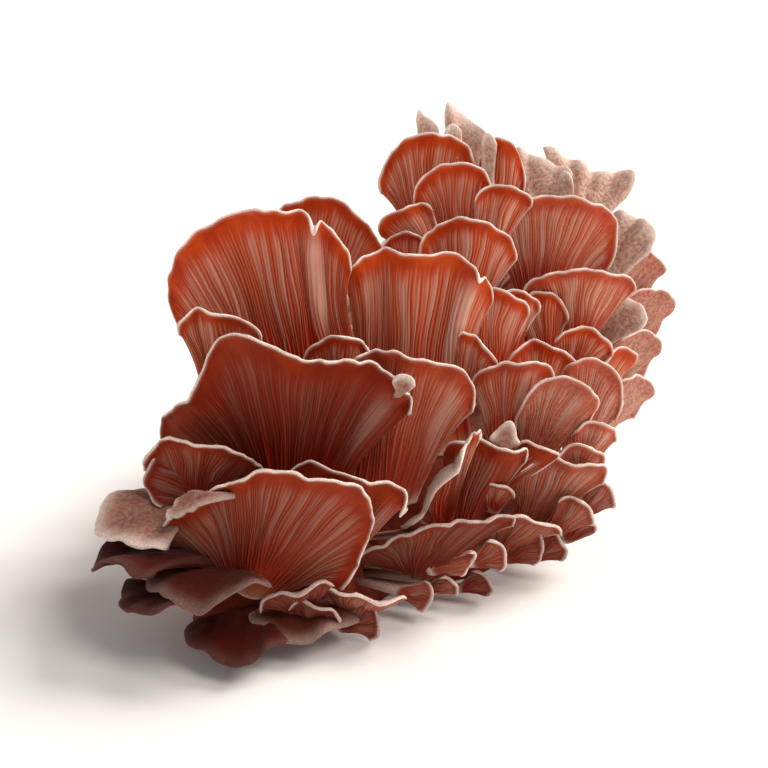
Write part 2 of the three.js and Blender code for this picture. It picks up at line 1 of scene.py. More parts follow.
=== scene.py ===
"""A cluster of pink oyster mushrooms: fine gills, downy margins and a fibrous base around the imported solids.

Each mushroom is one closed surface on a grid of two parameters: u runs across the fan from -1 at its
left edge to 1 at its right, and t runs from 0 at the foot to 1 at the margin. Sizes are in millimetres
until a mesh is made, which is in metres.
"""

import logging
import math
from dataclasses import dataclass, field
from enum import Enum
from typing import Iterator, Sequence, Union

import bpy
import numpy as np
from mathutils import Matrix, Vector
from numpy.typing import NDArray


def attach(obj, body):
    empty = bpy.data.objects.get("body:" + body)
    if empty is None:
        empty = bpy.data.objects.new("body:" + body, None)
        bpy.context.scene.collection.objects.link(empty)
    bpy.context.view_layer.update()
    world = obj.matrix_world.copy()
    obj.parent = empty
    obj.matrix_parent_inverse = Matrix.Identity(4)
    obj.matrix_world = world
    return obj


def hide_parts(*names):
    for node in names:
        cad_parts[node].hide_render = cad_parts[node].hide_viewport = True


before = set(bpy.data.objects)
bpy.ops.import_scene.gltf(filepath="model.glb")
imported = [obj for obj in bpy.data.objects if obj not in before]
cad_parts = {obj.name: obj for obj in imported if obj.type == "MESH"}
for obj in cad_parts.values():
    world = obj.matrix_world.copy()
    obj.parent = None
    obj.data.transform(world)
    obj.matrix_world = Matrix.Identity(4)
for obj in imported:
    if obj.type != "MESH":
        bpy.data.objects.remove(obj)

Array = NDArray[np.float64]
Indices = NDArray[np.int64]
Triple = tuple[float, float, float]
Input = Union[float, Sequence[float], bpy.types.NodeSocket]

log = logging.getLogger("oyster_cluster")

BODY = "root"
CAP_SEED = 100
MOUND_SEED = 500
YOUNG_SEED = 900
METRES = 0.001

# What a fan shares with its solid: lengths in millimetres, shares of a whole, and powers.
RIM_HALF = 0.75
STEM_SHARE = 0.08
STEM_HALF_MIN = 1.6
STEM_HALF_MAX = 4.5
STEM_WIDTH_SHARE = 0.13
THINNING = 1.6
BOW_POWER = 2.5
BOW_DEEPEST = 0.326
ROOT_DEPTH = 14.0
ROOT_SLOPE = 0.6
ROOT_LOWEST = 8.0

# Fine detail of a fan: lengths in millimetres, shares of a whole, and counts.
RIM_THINNING = 0.35
BEAD = 0.1
BEAD_IN = 1.0
BEAD_WIDTH = 1.3
GILL_PITCH = 1.1
GILLED_SHARE = 0.8
GILL_STEPS = 4
GILL_DEPTH_SHARE = 0.017
GILL_DEPTH_MIN = 0.55
GILL_DEPTH_MAX = 1.5
STATION_PITCH = 1.1
EDGE_ROUND = 0.75
CORNER_ROUND = 0.1
EDGE_STATIONS = 6
BACK_COLUMN_STEP = 4
BACK_ROW_STEP = 2
LATE_STARTS = (0.16, 0.34)
GILL_TAPER = 0.55
SWAY_ALONE = 0.28
SWAY_SLOW = 0.55
SWAY_QUICK = 0.25
GILL_COUNT_MIN = 8
GILL_COUNT_MAX = 130
ROLL_START = 0.9
RIM_LINE = 0.5
RIM_SIDE_GAP = 0.4
HEM_SIDE_GAP = 2.0
FOOT_PALENESS = 0.35
HEM_SHARE = 0.1
HEM_MIN = 1.8
HEM_MAX = 4.5
HEM_PALENESS = 0.75
# The painted highlight along the creases: how pale it makes the gills, and its width as a share of the crease's.
CREASE_HIGHLIGHT = 0.75
CREASE_HIGHLIGHT_WIDTH = 0.6

# Unevenness of a fan: the wavelength and height of each wave, in millimetres.
NOTCHES = ((24, 0.5), (11, 0.3), (6, 0.1))
FLUTTERS = ((25, 1.0), (12, 0.45), (7, 0.12))
ROLLS = ((26, 0.6), (13, 0.4))
PLEATS = ((9, 0.18), (5.5, 0.12))
NAP = ((5, 0.3), (2.6, 0.25))
NAP_DIRECTIONS = 12

# The order of corners that turns a triangle over.
FLIPPED = (0, 2, 1)

TOWARDS: Triple = (0, -1, 0)
DOWN: Triple = (0, -0.25, -1)
UNDER: Triple = (0, 0.15, -1)
AWAY: Triple = (0, 1, 0)
SIDEWAYS: Triple = (0.5, -0.8, -0.2)
EVEN = (0.85, 1, 0.85)


class Slot(Enum):
    """The record's material slots."""

    CAP = "cap"
    BASE = "base_flesh"


def linear(code: str) -> tuple[float, float, float, float]:
    """Turns an sRGB hex colour into linear light.

    Args:
        code: The colour as "#RRGGBB".

    Returns:
        Red, green, blue and an alpha of 1.
    """
    values = [int(code[k:k + 2], 16) / 255 for k in (1, 3, 5)]
    light = [v / 12.92 if v <= 0.04045 else ((v + 0.055) / 1.055) ** 2.4 for v in values]
    return (light[0], light[1], light[2], 1.0)


def per_metre(size: float) -> float:
    """Gives the texture scale whose features are about size millimetres across."""
    return 1 / (size * METRES)


def add_node(
    tree: bpy.types.NodeTree, kind: str, inputs: dict[Union[str, int], Input] | None = None, **settings: object
) -> bpy.types.Node:
    """Adds one node with its settings, values and links.

    Args:
        tree: The node tree to add to.
        kind: The node's type name.
        inputs: For each input socket, a value or the output socket to link.
        settings: The node's own settings.

    Returns:
        The new node.
    """
    node = tree.nodes.new(kind)
    for name, value in settings.items():
        setattr(node, name, value)
    for name, value in (inputs or {}).items():
        if isinstance(value, bpy.types.NodeSocket):
            tree.links.new(value, node.inputs[name])
        else:
            node.inputs[name].default_value = value
    return node


def new_material(name: str) -> tuple[bpy.types.Material, bpy.types.NodeTree]:
    """Makes a material with an empty node tree.

    Args:
        name: The material's name.

    Returns:
        The material and its tree.
    """
    material = bpy.data.materials.new(name)
    material.use_nodes = True
    material.node_tree.nodes.clear()
    return material, material.node_tree


def smoothstep(low: float | Array, high: float | Array, x: Array) -> Array:
    """Rises from 0 at low to 1 at high along 3x^2 - 2x^3."""
    share = np.clip((x - low) / (high - low), 0, 1)
    return share * share * (3 - 2 * share)


def unit(v: Array) -> Array:
    """Scales each vector along the last axis to a length of 1."""
    return v / np.maximum(np.linalg.norm(v, axis=-1, keepdims=True), 1e-9)


def held(value: float, low: float, high: float) -> float:
    """Keeps a value between two limits."""
    return min(max(value, low), high)


def bell(x: Array, width: float | Array) -> Array:
    """Falls away from 1 at 0 along exp(-(x / width)^2)."""
    return np.exp(-(x / width) ** 2)


def ripples(x: Array, waves: Sequence[tuple[float, float]], random: np.random.Generator) -> Array:
    """Adds up sine waves: the sum of height * sin(2 pi x / wavelength + phase).

    Args:
        x: Where to take the waves, in millimetres.
        waves: Wavelength and height of each wave, in millimetres.
        random: The stream that the phases come from.

    Returns:
        The height at each x.
    """
    total = np.zeros_like(x)
    for wavelength, height in waves:
        stretch = 0.85 + 0.3 * random.random()
        total += height * np.sin(2 * np.pi * x / (wavelength * stretch) + 2 * np.pi * random.random())
    return total


def lumps(points: Array, size: float, count: int, random: np.random.Generator) -> Array:
    """Gives an uneven field in space: the mean of sines along random directions, about -1 to 1.

    Args:
        points: Points in millimetres, on the last axis.
        size: Distance from lump to lump, in millimetres.
        count: Number of directions.
        random: The stream that the directions and phases come from.

    Returns:
        The field at each point.
    """
    directions = unit(random.normal(size=(count, 3)))
    turns = 2 * np.pi / (size * (0.7 + 0.6 * random.random(count)))
    phases = 2 * np.pi * random.random(count)
    waves = np.sin(np.einsum("...k,ck->...c", points, directions * turns[:, None]) + phases)
    return waves.sum(axis=-1) * math.sqrt(2 / count) * 0.6


def numbered(grid: Array, first: int = 0) -> Indices:
    """Numbers the points of a grid row by row, counting from first."""
    return first + np.arange(grid.shape[0] * grid.shape[1]).reshape(grid.shape[:2])


def grid_quads(index: Indices) -> Indices:
    """Joins a grid of vertex numbers into quads that face along columns x rows, four numbers for each."""
    corners = (index[:-1, :-1], index[:-1, 1:], index[1:, 1:], index[1:, :-1])
    return np.stack(corners, axis=-1).reshape(-1, 4)


def fan_round(hub: int, chain: Indices) -> Indices:
    """Joins the vertex hub to each edge of a chain with a triangle that turns as the chain does."""
    return np.stack((np.full(len(chain) - 1, hub), chain[:-1], chain[1:]), axis=-1)


def zip_chains(dense: Indices, coarse: Indices, match: Array) -> Indices:
    """Fills the strip between two chains of vertices with triangles.

    Every dense edge joins the coarse vertex that it lies nearest to, and every coarse edge joins the
    dense vertex where that choice steps on.

    Args:
        dense: Vertex numbers of the finer chain.
        coarse: Vertex numbers of the other chain.
        match: For each coarse vertex, its place along the dense chain.

    Returns:
        Three vertex numbers for each triangle.
    """
    middles = (match[:-1] + match[1:]) / 2
    chosen = np.searchsorted(middles, np.arange(len(dense) - 1) + 0.5)
    fans = np.stack((dense[:-1], dense[1:], coarse[chosen]), axis=-1)
    steps = np.searchsorted(chosen, np.arange(1, len(coarse)))
    links = np.stack((coarse[:-1], dense[steps], coarse[1:]), axis=-1)
    return np.concatenate((fans, links))


def closing(front: Indices, back: Indices, rows: Indices, columns: Indices, tip: int) -> Indices:
    """Joins a gilled face, the coarser downy face behind it and the root's tip into one closed surface.

    Args:
        front: Vertex numbers of the gilled face.
        back: Vertex numbers of the downy face.
        rows: The gilled face's row at each row of the downy one.
        columns: Its column at each column of the downy one.
        tip: The vertex number of the root's tip.

    Returns:
        Three vertex numbers for each triangle.
    """
    last_row, last_column = front.shape[0] - 1, front.shape[1] - 1
    dense = np.concatenate((front[:-1, 0], front[-1], front[-2::-1, -1]))
    coarse = np.concatenate((back[:-1, 0], back[-1], back[-2::-1, -1]))
    match = np.concatenate((rows[:-1], [last_row], last_row + columns[1:-1], [last_row + last_column],
                            2 * last_row + last_column - rows[-2::-1])).astype(float)
    hem = np.concatenate((front[0, :1], back[0], front[0, -1:]))
    strip = zip_chains(dense, coarse, match)
    return np.concatenate((strip, fan_round(tip, front[0])[:, FLIPPED], fan_round(tip, hem)))


@dataclass
class Skin:
    """The points, faces and attributes of a piece before it becomes a mesh."""

    points: Array
    quads: Indices
    triangles: Indices
    attributes: dict[str, Array] = field(default_factory=dict)

    @staticmethod
    def joined(skins: list["Skin"]) -> "Skin":
        """Puts several surfaces with the same attributes into one.

        Args:
            skins: The surfaces.

        Returns:
            All of them together.
        """
        first = np.cumsum([0, *(len(skin.points) for skin in skins)])
        return Skin(
            np.concatenate([skin.points for skin in skins]),
            np.concatenate([skin.quads + n for skin, n in zip(skins, first)]),
            np.concatenate([skin.triangles + n for skin, n in zip(skins, first)]),
            {name: np.concatenate([skin.attributes[name] for skin in skins]) for name in skins[0].attributes},
        )

    def piece(self, name: str, material: bpy.types.Material) -> bpy.types.Object:
        """Makes the mesh object, in metres and at the origin.

        Args:
            name: The piece's name.
            material: Its material.

        Returns:
            The object, linked to the scene.
        """
        mesh = bpy.data.meshes.new(name)
        corners = np.concatenate((self.quads.ravel(), self.triangles.ravel()))
        fours = len(self.quads)
        threes = len(self.triangles)
        starts = np.concatenate((np.arange(fours) * 4, fours * 4 + np.arange(threes) * 3))
        mesh.vertices.add(len(self.points))
        mesh.vertices.foreach_set("co", (self.points * METRES).astype(np.float32).ravel())
        mesh.loops.add(len(corners))
        mesh.loops.foreach_set("vertex_index", corners.astype(np.int32))
        mesh.polygons.add(fours + threes)
        mesh.polygons.foreach_set("loop_start", starts.astype(np.int32))
        mesh.polygons.foreach_set("use_smooth", np.ones(fours + threes, dtype=bool))
        for label, values in self.attributes.items():
            layer = mesh.attributes.new(label, "FLOAT", "POINT")
            layer.data.foreach_set("value", values.astype(np.float32))
        mesh.update(calc_edges=True)
        mesh.validate()
        mesh.materials.append(material)
        piece = bpy.data.objects.new(name, mesh)
        bpy.context.scene.collection.objects.link(piece)
        return piece


@dataclass(frozen=True)
class CapFlesh:
    """Fresh mushroom flesh: moist gills on one side, a dry downy skin on the other.

    The gills' edges are pale and their valleys deep orange-red, with a smooth band inside the margin where
    they die away. The skin is salmon under a white down that gathers on the margin.
    """

    valley: str = "#BC3006"
    edge: str = "#DC8C66"
    streak: str = "#ECC6B3"
    band: str = "#D04C0E"
    deep_band: str = "#B43607"
    skin: str = "#A65A3A"
    down: str = "#DBCBBE"
    rim: str = "#F6E6DA"
    stem: str = "#C98A66"
    # Multiplied in where caps darken: partly the older flesh, partly painted shade on the caps that lie in
    # shadow.
    aged_and_shaded: str = "#703020"
    streak_strength: float = 0.8
    mottle_size: float = 9.0
    down_size: float = 1.4
    fuzz_size: float = 0.6
    roughness: float = 0.58
    down_roughness: float = 0.9
    scatter: float = 0.12
    scatter_depth: float = 1.6

    def material(self) -> bpy.types.Material:
        """Builds the node material, which reads the attributes of a mushroom's surface.

        Returns:
            The material.
        """
        material, tree = new_material("oyster_mushroom_flesh")
        read = {
            name: add_node(tree, "ShaderNodeAttribute", attribute_name=name).outputs["Fac"]
            for name in ("gill", "band", "margin", "down", "streak", "age", "stem")
        }
        place = add_node(tree, "ShaderNodeTexCoord").outputs["Object"]
        mottle = add_node(tree, "ShaderNodeTexNoise",
                          {"Vector": place, "Scale": per_metre(self.mottle_size), "Detail": 3.0})
        grain = add_node(tree, "ShaderNodeTexNoise",
                         {"Vector": place, "Scale": per_metre(self.down_size), "Detail": 4.0, "Roughness": 0.62})
        fuzz = add_node(tree, "ShaderNodeTexNoise",
                        {"Vector": place, "Scale": per_metre(self.fuzz_size), "Detail": 2.0})
        streaks = add_node(tree, "ShaderNodeMath", {0: read["streak"], 1: self.streak_strength},
                           operation="MULTIPLY")
        patches = add_node(tree, "ShaderNodeMapRange",
                           {"Value": mottle.outputs["Fac"], "From Min": 0.38, "From Max": 0.62})
        bands = add_node(tree, "ShaderNodeMix",
                         {0: patches.outputs[0], 6: linear(self.band), 7: linear(self.deep_band)},
                         data_type="RGBA")
        tufts = add_node(tree, "ShaderNodeMapRange",
                         {"Value": grain.outputs["Fac"], "From Min": 0.38, "From Max": 0.64, "To Min": 0.16,
                          "To Max": 0.76})
        # The white down fades on the darkened caps: partly ageing, partly painted shade on the caps in shadow.
        tone_shift = add_node(tree, "ShaderNodeMapRange", {"Value": read["age"], "To Min": 1.0, "To Max": 0.06})
        dusting = add_node(tree, "ShaderNodeMath", {0: tufts.outputs[0], 1: tone_shift.outputs[0]},
                           operation="MULTIPLY")
        downy = add_node(tree, "ShaderNodeMix",
                         {0: dusting.outputs[0], 6: linear(self.skin), 7: linear(self.down)}, data_type="RGBA")
        broken = add_node(tree, "ShaderNodeMapRange",
                          {"Value": fuzz.outputs["Fac"], "From Min": 0.3, "From Max": 0.6, "To Min": 0.6})
        edging = add_node(tree, "ShaderNodeMath", {0: read["margin"], 1: broken.outputs[0]},
                          operation="MULTIPLY")
        # The white rim fades too on the darkest caps: partly ageing, partly painted shade.
        pale_share = add_node(tree, "ShaderNodeMapRange",
                          {"Value": read["age"], "From Min": 0.6, "To Min": 1.0, "To Max": 0.06})
        bright = add_node(tree, "ShaderNodeMath", {0: edging.outputs[0], 1: pale_share.outputs[0]},
                          operation="MULTIPLY")
        colour: Input = linear(self.valley)
        for share, over, blend in (
            (read["gill"], linear(self.edge), "MIX"),
            (streaks.outputs[0], linear(self.streak), "MIX"),
            (read["band"], bands.outputs[2], "MIX"),
            (read["stem"], linear(self.stem), "MIX"),
            (read["down"], downy.outputs[2], "MIX"),
            # Multiplied darker per cap: partly older flesh, partly painted shade.
            (read["age"], linear(self.aged_and_shaded), "MULTIPLY"),
            (bright.outputs[0], linear(self.rim), "MIX"),
        ):
            layer = add_node(tree, "ShaderNodeMix", {0: share, 6: colour, 7: over}, data_type="RGBA",
                             blend_type=blend)
            colour = layer.outputs[2]
        rough = add_node(tree, "ShaderNodeMapRange",
                         {"Value": read["down"], "To Min": self.roughness, "To Max": self.down_roughness})
        nap = add_node(tree, "ShaderNodeMath", {0: grain.outputs["Fac"], 1: read["down"]}, operation="MULTIPLY")
        bump = add_node(tree, "ShaderNodeBump",
                        {"Strength": 0.7, "Distance": 0.5 * METRES, "Height": nap.outputs[0]})
        shader = add_node(tree, "ShaderNodeBsdfPrincipled", {
            "Base Color": colour,
            "Roughness": rough.outputs[0],
            "Normal": bump.outputs[0],
            "IOR": 1.4,
            "Specular IOR Level": 0.2,
            "Subsurface Weight": self.scatter,
            "Subsurface Radius": (1.0, 0.35, 0.2),
            "Subsurface Scale": self.scatter_depth * METRES,
            "Sheen Weight": 0.04,
            "Sheen Roughness": 0.5,
            "Sheen Tint": linear("#FFE9DD"),
        })
        add_node(tree, "ShaderNodeOutputMaterial", {"Surface": shader.outputs[0]})
        return material


@dataclass(frozen=True)
class BaseFlesh:
    """Fused stems: firm pale flesh with upright fibres, stained orange, and painted shade that darkens it
    towards the front, where the caps crowd over it.
    """

    pale: str = "#DDB49C"
    stained: str = "#B8683F"
    # Painted shade, multiplied in towards the front of the base, where the caps crowd over it.
    front_shade: str = "#8E4630"
    fibre_width: float = 1.6
    fibre_length: float = 16.0
    stain_size: float = 14.0
    shade_from: float = 40.0
    shade_to: float = -5.0

    def material(self) -> bpy.types.Material:
        """Builds the node material.

        Returns:
            The material.
        """
        material, tree = new_material("oyster_mushroom_stem_flesh")
        place = add_node(tree, "ShaderNodeTexCoord").outputs["Object"]
        stretched = add_node(tree, "ShaderNodeMapping",
                             {"Vector": place, "Scale": (1.0, 1.0, self.fibre_width / self.fibre_length)})
        fibre = add_node(tree, "ShaderNodeTexNoise",
                         {"Vector": stretched.outputs[0], "Scale": per_metre(self.fibre_width), "Detail": 3.0})
        stain = add_node(tree, "ShaderNodeTexNoise",
                         {"Vector": place, "Scale": per_metre(self.stain_size), "Detail": 4.0})
        both = add_node(tree, "ShaderNodeMath", {0: fibre.outputs["Fac"], 1: stain.outputs["Fac"]},
                        operation="ADD")
        share = add_node(tree, "ShaderNodeMapRange",
                         {"Value": both.outputs[0], "From Min": 0.75, "From Max": 1.25})
        colour = add_node(tree, "ShaderNodeMix",
                          {0: share.outputs[0], 6: linear(self.pale), 7: linear(self.stained)}, data_type="RGBA")
        # Painted shade: the flesh is multiplied darker from the back to the front, where the caps crowd over it.
        depth = add_node(tree, "ShaderNodeSeparateXYZ", {"Vector": place})
        front = add_node(tree, "ShaderNodeMapRange",
                         {"Value": depth.outputs[1], "From Min": self.shade_from * METRES,
                          "From Max": self.shade_to * METRES})
        shaded = add_node(tree, "ShaderNodeMix",
                          {0: front.outputs[0], 6: colour.outputs[2], 7: linear(self.front_shade)}, data_type="RGBA",
                          blend_type="MULTIPLY")
        bump = add_node(tree, "ShaderNodeBump",
                        {"Strength": 0.6, "Distance": 0.4 * METRES, "Height": fibre.outputs["Fac"]})
        shader = add_node(tree, "ShaderNodeBsdfPrincipled", {
            "Base Color": shaded.outputs[2],
            "Normal": bump.outputs[0],
            "Roughness": 0.75,
            "IOR": 1.4,
            "Specular IOR Level": 0.3,
            "Subsurface Weight": 0.1,
            "Subsurface Radius": (1.0, 0.5, 0.3),
            "Subsurface Scale": 2 * METRES,
        })
        add_node(tree, "ShaderNodeOutputMaterial", {"Surface": shader.outputs[0]})
        return material


@dataclass(frozen=True)
class Paper:
    """Matt white paper, as a studio floor is covered with."""

    colour: str = "#F4F3F1"

    def material(self) -> bpy.types.Material:
        """Builds the node material.

        Returns:
            The material.
        """
        material, tree = new_material("matt_white_paper")
        shader = add_node(tree, "ShaderNodeBsdfPrincipled", {
            "Base Color": linear(self.colour),
            "Roughness": 0.95,
            "Specular IOR Level": 0.1,
        })
        add_node(tree, "ShaderNodeOutputMaterial", {"Surface": shader.outputs[0]})
        return material


@dataclass(frozen=True)
class Mound:
    """A leaning mound of fused stems on the cut face.

    At height h the outline is the cut face's ellipse times (1 - (h / height)^1.3)^0.7, about an axis that
    shifts sideways by lean for each millimetre up.
    """

    middle: tuple[float, float]
    long: float
    short: float
    turn: float
    height: float
    lean: tuple[float, float]
    taper: float = 1.3
    rounding: float = 0.7
    lump: float = 0.05
    lump_rows: float = 12.0
    fibre: float = 0.35
    ring: int = 220
    levels: int = 72

    def radius(self, angle: Array | float) -> Array:
        """Gives the cut face's radius by direction, in radians."""
        turned = angle - math.radians(self.turn)
        return 1 / np.hypot(np.cos(turned) / self.long, np.sin(turned) / self.short)

    def axis(self, height: Array | float) -> Array:
        """Gives the point of the leaning axis at a height."""
        height = np.asarray(height, dtype=float)
        return np.stack((self.middle[0] + self.lean[0] * height, self.middle[1] + self.lean[1] * height, height),
                        axis=-1)

    def share(self, height: Array | float) -> Array:
        """Gives the outline's size at a height, as a share of the cut face."""
        return (1 - np.clip(np.asarray(height) / self.height, 0, 1) ** self.taper) ** self.rounding

    def inside(self, points: Array) -> NDArray[np.bool_]:
        """Tells which points lie inside the mound."""
        side = points - self.axis(points[..., 2])
        angle = np.arctan2(side[..., 1], side[..., 0])
        return np.hypot(side[..., 0], side[..., 1]) < self.radius(angle) * self.share(points[..., 2])

    def stand(self, degrees: float, height: float) -> tuple[Array, Array]:
        """Finds a place on the skin and the way the skin looks there.

        Args:
            degrees: The direction from the axis.
            height: The height over the cut face.

        Returns:
            The place and the level direction outwards.
        """
        angle = math.radians(degrees)
        turn = math.radians(self.turn)
        across = math.sin(angle - turn) / self.short ** 2
        facing = turn + math.atan2(across, math.cos(angle - turn) / self.long ** 2)
        reach = self.radius(angle) * self.share(height)
        place = self.axis(height) + np.array((math.cos(angle), math.sin(angle), 0)) * reach
        return place, np.array((math.cos(facing), math.sin(facing), 0))

    def skin(self, random: np.random.Generator) -> Skin:
        """Works out the surface as rings from the cut face to the top.

        The radius is ellipse * share * (1 + lump * sin(5 angle + rows s)), plus upright fibres and lumps.

        Args:
            random: The stream that the unevenness comes from.

        Returns:
            The closed surface.
        """
        step = np.linspace(0, 1, self.levels, endpoint=False)[:, None]
        angle = np.linspace(0, 2 * np.pi, self.ring, endpoint=False)[None, :]
        height = self.height * np.sin(np.pi / 2 * step)
        radius = self.radius(angle) * self.share(height)
        radius = radius * (1 + self.lump * np.sin(5 * angle + self.lump_rows * step))
        circle = np.stack(np.broadcast_arrays(np.cos(angle), np.sin(angle), 0 * angle), axis=-1)
        smooth = self.axis(height) + circle * radius[..., None]
        fibres = ripples(angle * self.long, ((3.2, 0.5), (2.1, 0.5)), random)
        relief = self.fibre * (fibres + lumps(smooth, 9, 10, random) * 1.5)
        points = self.axis(height) + circle * (radius + relief * np.minimum(step * 12, 1))[..., None]
        index = numbered(points)
        closed = np.concatenate((index, index[:, :1]), axis=1)
        low = fan_round(index.size, closed[0])[:, FLIPPED]
        high = fan_round(index.size + 1, closed[-1])
        ends = np.array([[*self.middle, 0.0], self.axis(self.height)])
        every = np.concatenate((points.reshape(-1, 3), ends))
        return Skin(every, grid_quads(closed), np.concatenate((low, high)))


MOUNDS = (
    Mound((0, 0), long=76, short=40, turn=26, height=108, lean=(0.12, 0.6)),
    Mound((-36, -44), long=44, short=26, turn=40, height=58, lean=(0, 0.3)),
)


def root_of(foot: Array) -> Array:
    """Finds where a stem ends: inside the nearer mound, as far under its skin as the foot stands outside it.

    Args:
        foot: The mushroom's foot.

    Returns:
        The root's tip.
    """
    middles = [mound.axis(held(foot[2] * ROOT_SLOPE, ROOT_LOWEST, mound.height / 2)) for mound in MOUNDS]
    reaches = [float(np.linalg.norm(middle - foot)) for middle in middles]
    nearest = int(np.argmin(reaches))
    inward = unit(middles[nearest] - foot)
    runs = np.arange(0, reaches[nearest], 0.5)
    within = MOUNDS[nearest].inside(foot + inward * runs[:, None])
    run = runs[np.argmax(within)] if within.any() else reaches[nearest]
    return foot + inward * (min(2 * run, reaches[nearest]) + ROOT_DEPTH)


@dataclass
class Mushroom:
    """One mushroom: a short stem that flares into a ruffled fan.

    foot and crown are where the gills meet and the middle of the margin; left and right are the fan's spread
    in degrees, seen from the gills; rim is its length at even steps across, as a share of the whole; cup is
    how far its sides bend back, in radians; bow is the hollow of its profile; wave is the number, height and
    phase of its ruffles; faces is where the gills look; stem is its half width at the foot. gills_end is where
    the gills die away, age is how dark the flesh is made, partly as older flesh and partly as painted
    shade on caps that lie in shadow, roll is how far the margin rolls in and each crease is a fold with a
    painted
    highlight along it: its place across, its width as a share and its height. Each curl rolls a stretch of the
    margin over: its place across, its width, where along the fan it starts and its turn in degrees. fade is the
    stretch over which the gills die away, frost is how far the down spreads over them and chalk is how pale they
    are. root is where the stem ends, by default inside a mound.
    """

    name: str
    foot: Triple
    crown: Triple
    left: float
    right: float
    rim: tuple[float, ...] = EVEN
    cup: float = 0.5
    bow: float = 2.0
    wave: Triple = (2, 1, 0)
    faces: Triple = TOWARDS
    stem: float | None = None
    gills_end: float = 0.95
    age: float = 0.0
    roll: float = 1.2
    creases: tuple[Triple, ...] = ()
    curls: tuple[tuple[float, float, float, float], ...] = ()
    fade: float = 0.07
    frost: float = 0.0
    chalk: float = 1.0
    root: Triple | None = None
    length: float = field(init=False)
    along: Array = field(init=False)
    outward: Array = field(init=False)
    across: Array = field(init=False)
    gill_count: int = field(init=False)

    def __post_init__(self) -> None:
        """Works out the fan's own axes and the number of its gills."""
        run = np.subtract(self.crown, self.foot).astype(float)
        self.length = float(np.linalg.norm(run))
        self.along = run / self.length
        faces = np.asarray(self.faces, dtype=float)
        self.outward = unit(faces - self.along * (faces @ self.along))
        self.across = np.cross(self.along, self.outward)
        gills = round(GILLED_SHARE * self.arc() / GILL_PITCH)
        self.gill_count = int(held(gills, GILL_COUNT_MIN, GILL_COUNT_MAX))

    def arc(self) -> float:
        """Gives the margin's length as a plain arc, in millimetres."""
        return self.length * math.radians(self.left + self.right)

    def stem_half(self) -> float:
        """Gives half the stem's thickness."""
        return held(self.length * STEM_SHARE, STEM_HALF_MIN, STEM_HALF_MAX)

    def reach(self, u: Array) -> Array:
        """Gives the fan's length at u, as a share: a smooth cubic through the rim's values.

        Args:
            u: Places across the fan.

        Returns:
            The share at each place.
        """
        rim = np.asarray(self.rim, dtype=float)
        padded = np.concatenate(([2 * rim[0] - rim[1]], rim, [2 * rim[-1] - rim[-2]]))
        place = (u + 1) / 2 * (len(rim) - 1)
        k = np.clip(np.floor(place).astype(int), 0, len(rim) - 2)
        f = place - k
        before, start, end, after = (padded[k + n] for n in range(4))
        slope_from = (end - before) / 2
        slope_to = (after - start) / 2
        turn = 2 * (start - end) + slope_from + slope_to
        return start + f * (slope_from + f * (3 * (end - start) - 2 * slope_from - slope_to + f * turn))

    def stations(self) -> Array:
        """Gives the steps of t: even along the fan, then closing in on the margin along a quarter circle.

        Returns:
            The steps, from 0 to 1.
        """
        even = 2 * max(round(self.length / STATION_PITCH / 2), 8)
        edge = 1 - EDGE_ROUND / self.length
        turn = np.sin(np.linspace(0, np.pi / 2, EDGE_STATIONS + 1))[1:]
        return np.concatenate((np.linspace(0, edge, even + 1), edge + (1 - edge) * turn))

    def fan(self, u: Array, t: Array, random: np.random.Generator) -> Array:
        """Works out the fan's middle surface.

        A point lies at t * length * reach(u) from the foot, turned by u times the spread. Across the fan it is
        wrapped round a cylinder of radius half span / cup. Along the outward axis come the bow
        (t^2.5 - t), the ruffles t^2 sin(n pi u + phase), small flutters t^5 and the rolled margin.

        Args:
            u: Places across the fan.
            t: Places along it.
            random: The stream that the margin's unevenness comes from.

        Returns:
            The points, in millimetres.
        """
        rim_place = u * self.arc() / 2
        notch = ripples(rim_place, NOTCHES, random)
        flutter = ripples(rim_place, FLUTTERS, random)
        rolled = 0.65 + 0.35 * ripples(rim_place, ROLLS, random)
        angle = u * np.where(u < 0, math.radians(self.left), math.radians(self.right))
        corner = 1 - CORNER_ROUND * u ** 8
        radius = t * (self.length * self.reach(u) * corner + notch * t ** 3)
        radius, lift = self.curled(u, t, radius)
        stem_width = self.length * STEM_WIDTH_SHARE if self.stem is None else self.stem
        flat = radius * np.sin(angle) + stem_width * u * (1 - t) ** 2
        widest = math.radians(min(max(self.left, self.right), 90))
        bend = self.length * math.sin(widest) / self.cup
        ruffles, height, phase = self.wave
        out = lift - bend * (1 - np.cos(flat / bend)) + self.bow * (t ** BOW_POWER - t) / BOW_DEEPEST
        out = out + height * t ** 2 * np.sin(ruffles * np.pi * u + phase) + flutter * t ** 5
        for where, width, rise in self.creases:
            out = out + rise * t ** 1.5 * bell(u - where, width)
        out = out + self.roll * rolled * np.clip((t - ROLL_START) / (1 - ROLL_START), 0, 1) ** 2
        return (np.asarray(self.foot) + self.along * (radius * np.cos(angle))[..., None]
                + self.across * (bend * np.sin(flat / bend))[..., None] + self.outward * out[..., None])

    def curled(self, u: Array, t: Array, radius: Array) -> tuple[Array, Array]:
        """Rolls parts of the margin over towards the gills.

        Past its start the fan's profile follows a circular arc: with s the distance gone and r the arc's radius,
        it moves on by r sin(s / r) and outwards by r (1 - cos(s / r)).

        Args:
            u: Places across the fan.
            t: Places along it.
            radius: Distance from the foot at each place, unrolled.

        Returns:
            The distance from the foot and the rise towards the gills.
        """
        lift = np.zeros_like(radius)
        for where, width, start, turn in self.curls:
            angle = math.radians(turn) * bell(u - where, width) + 1e-4
            whole = self.length * self.reach(u)
            bend = whole * (1 - start) / angle
            gone = np.maximum(radius - start * whole, 0)
            lift = lift + bend * (1 - np.cos(gone / bend))
            radius = np.minimum(radius, start * whole) + bend * np.sin(gone / bend)
        return radius, lift

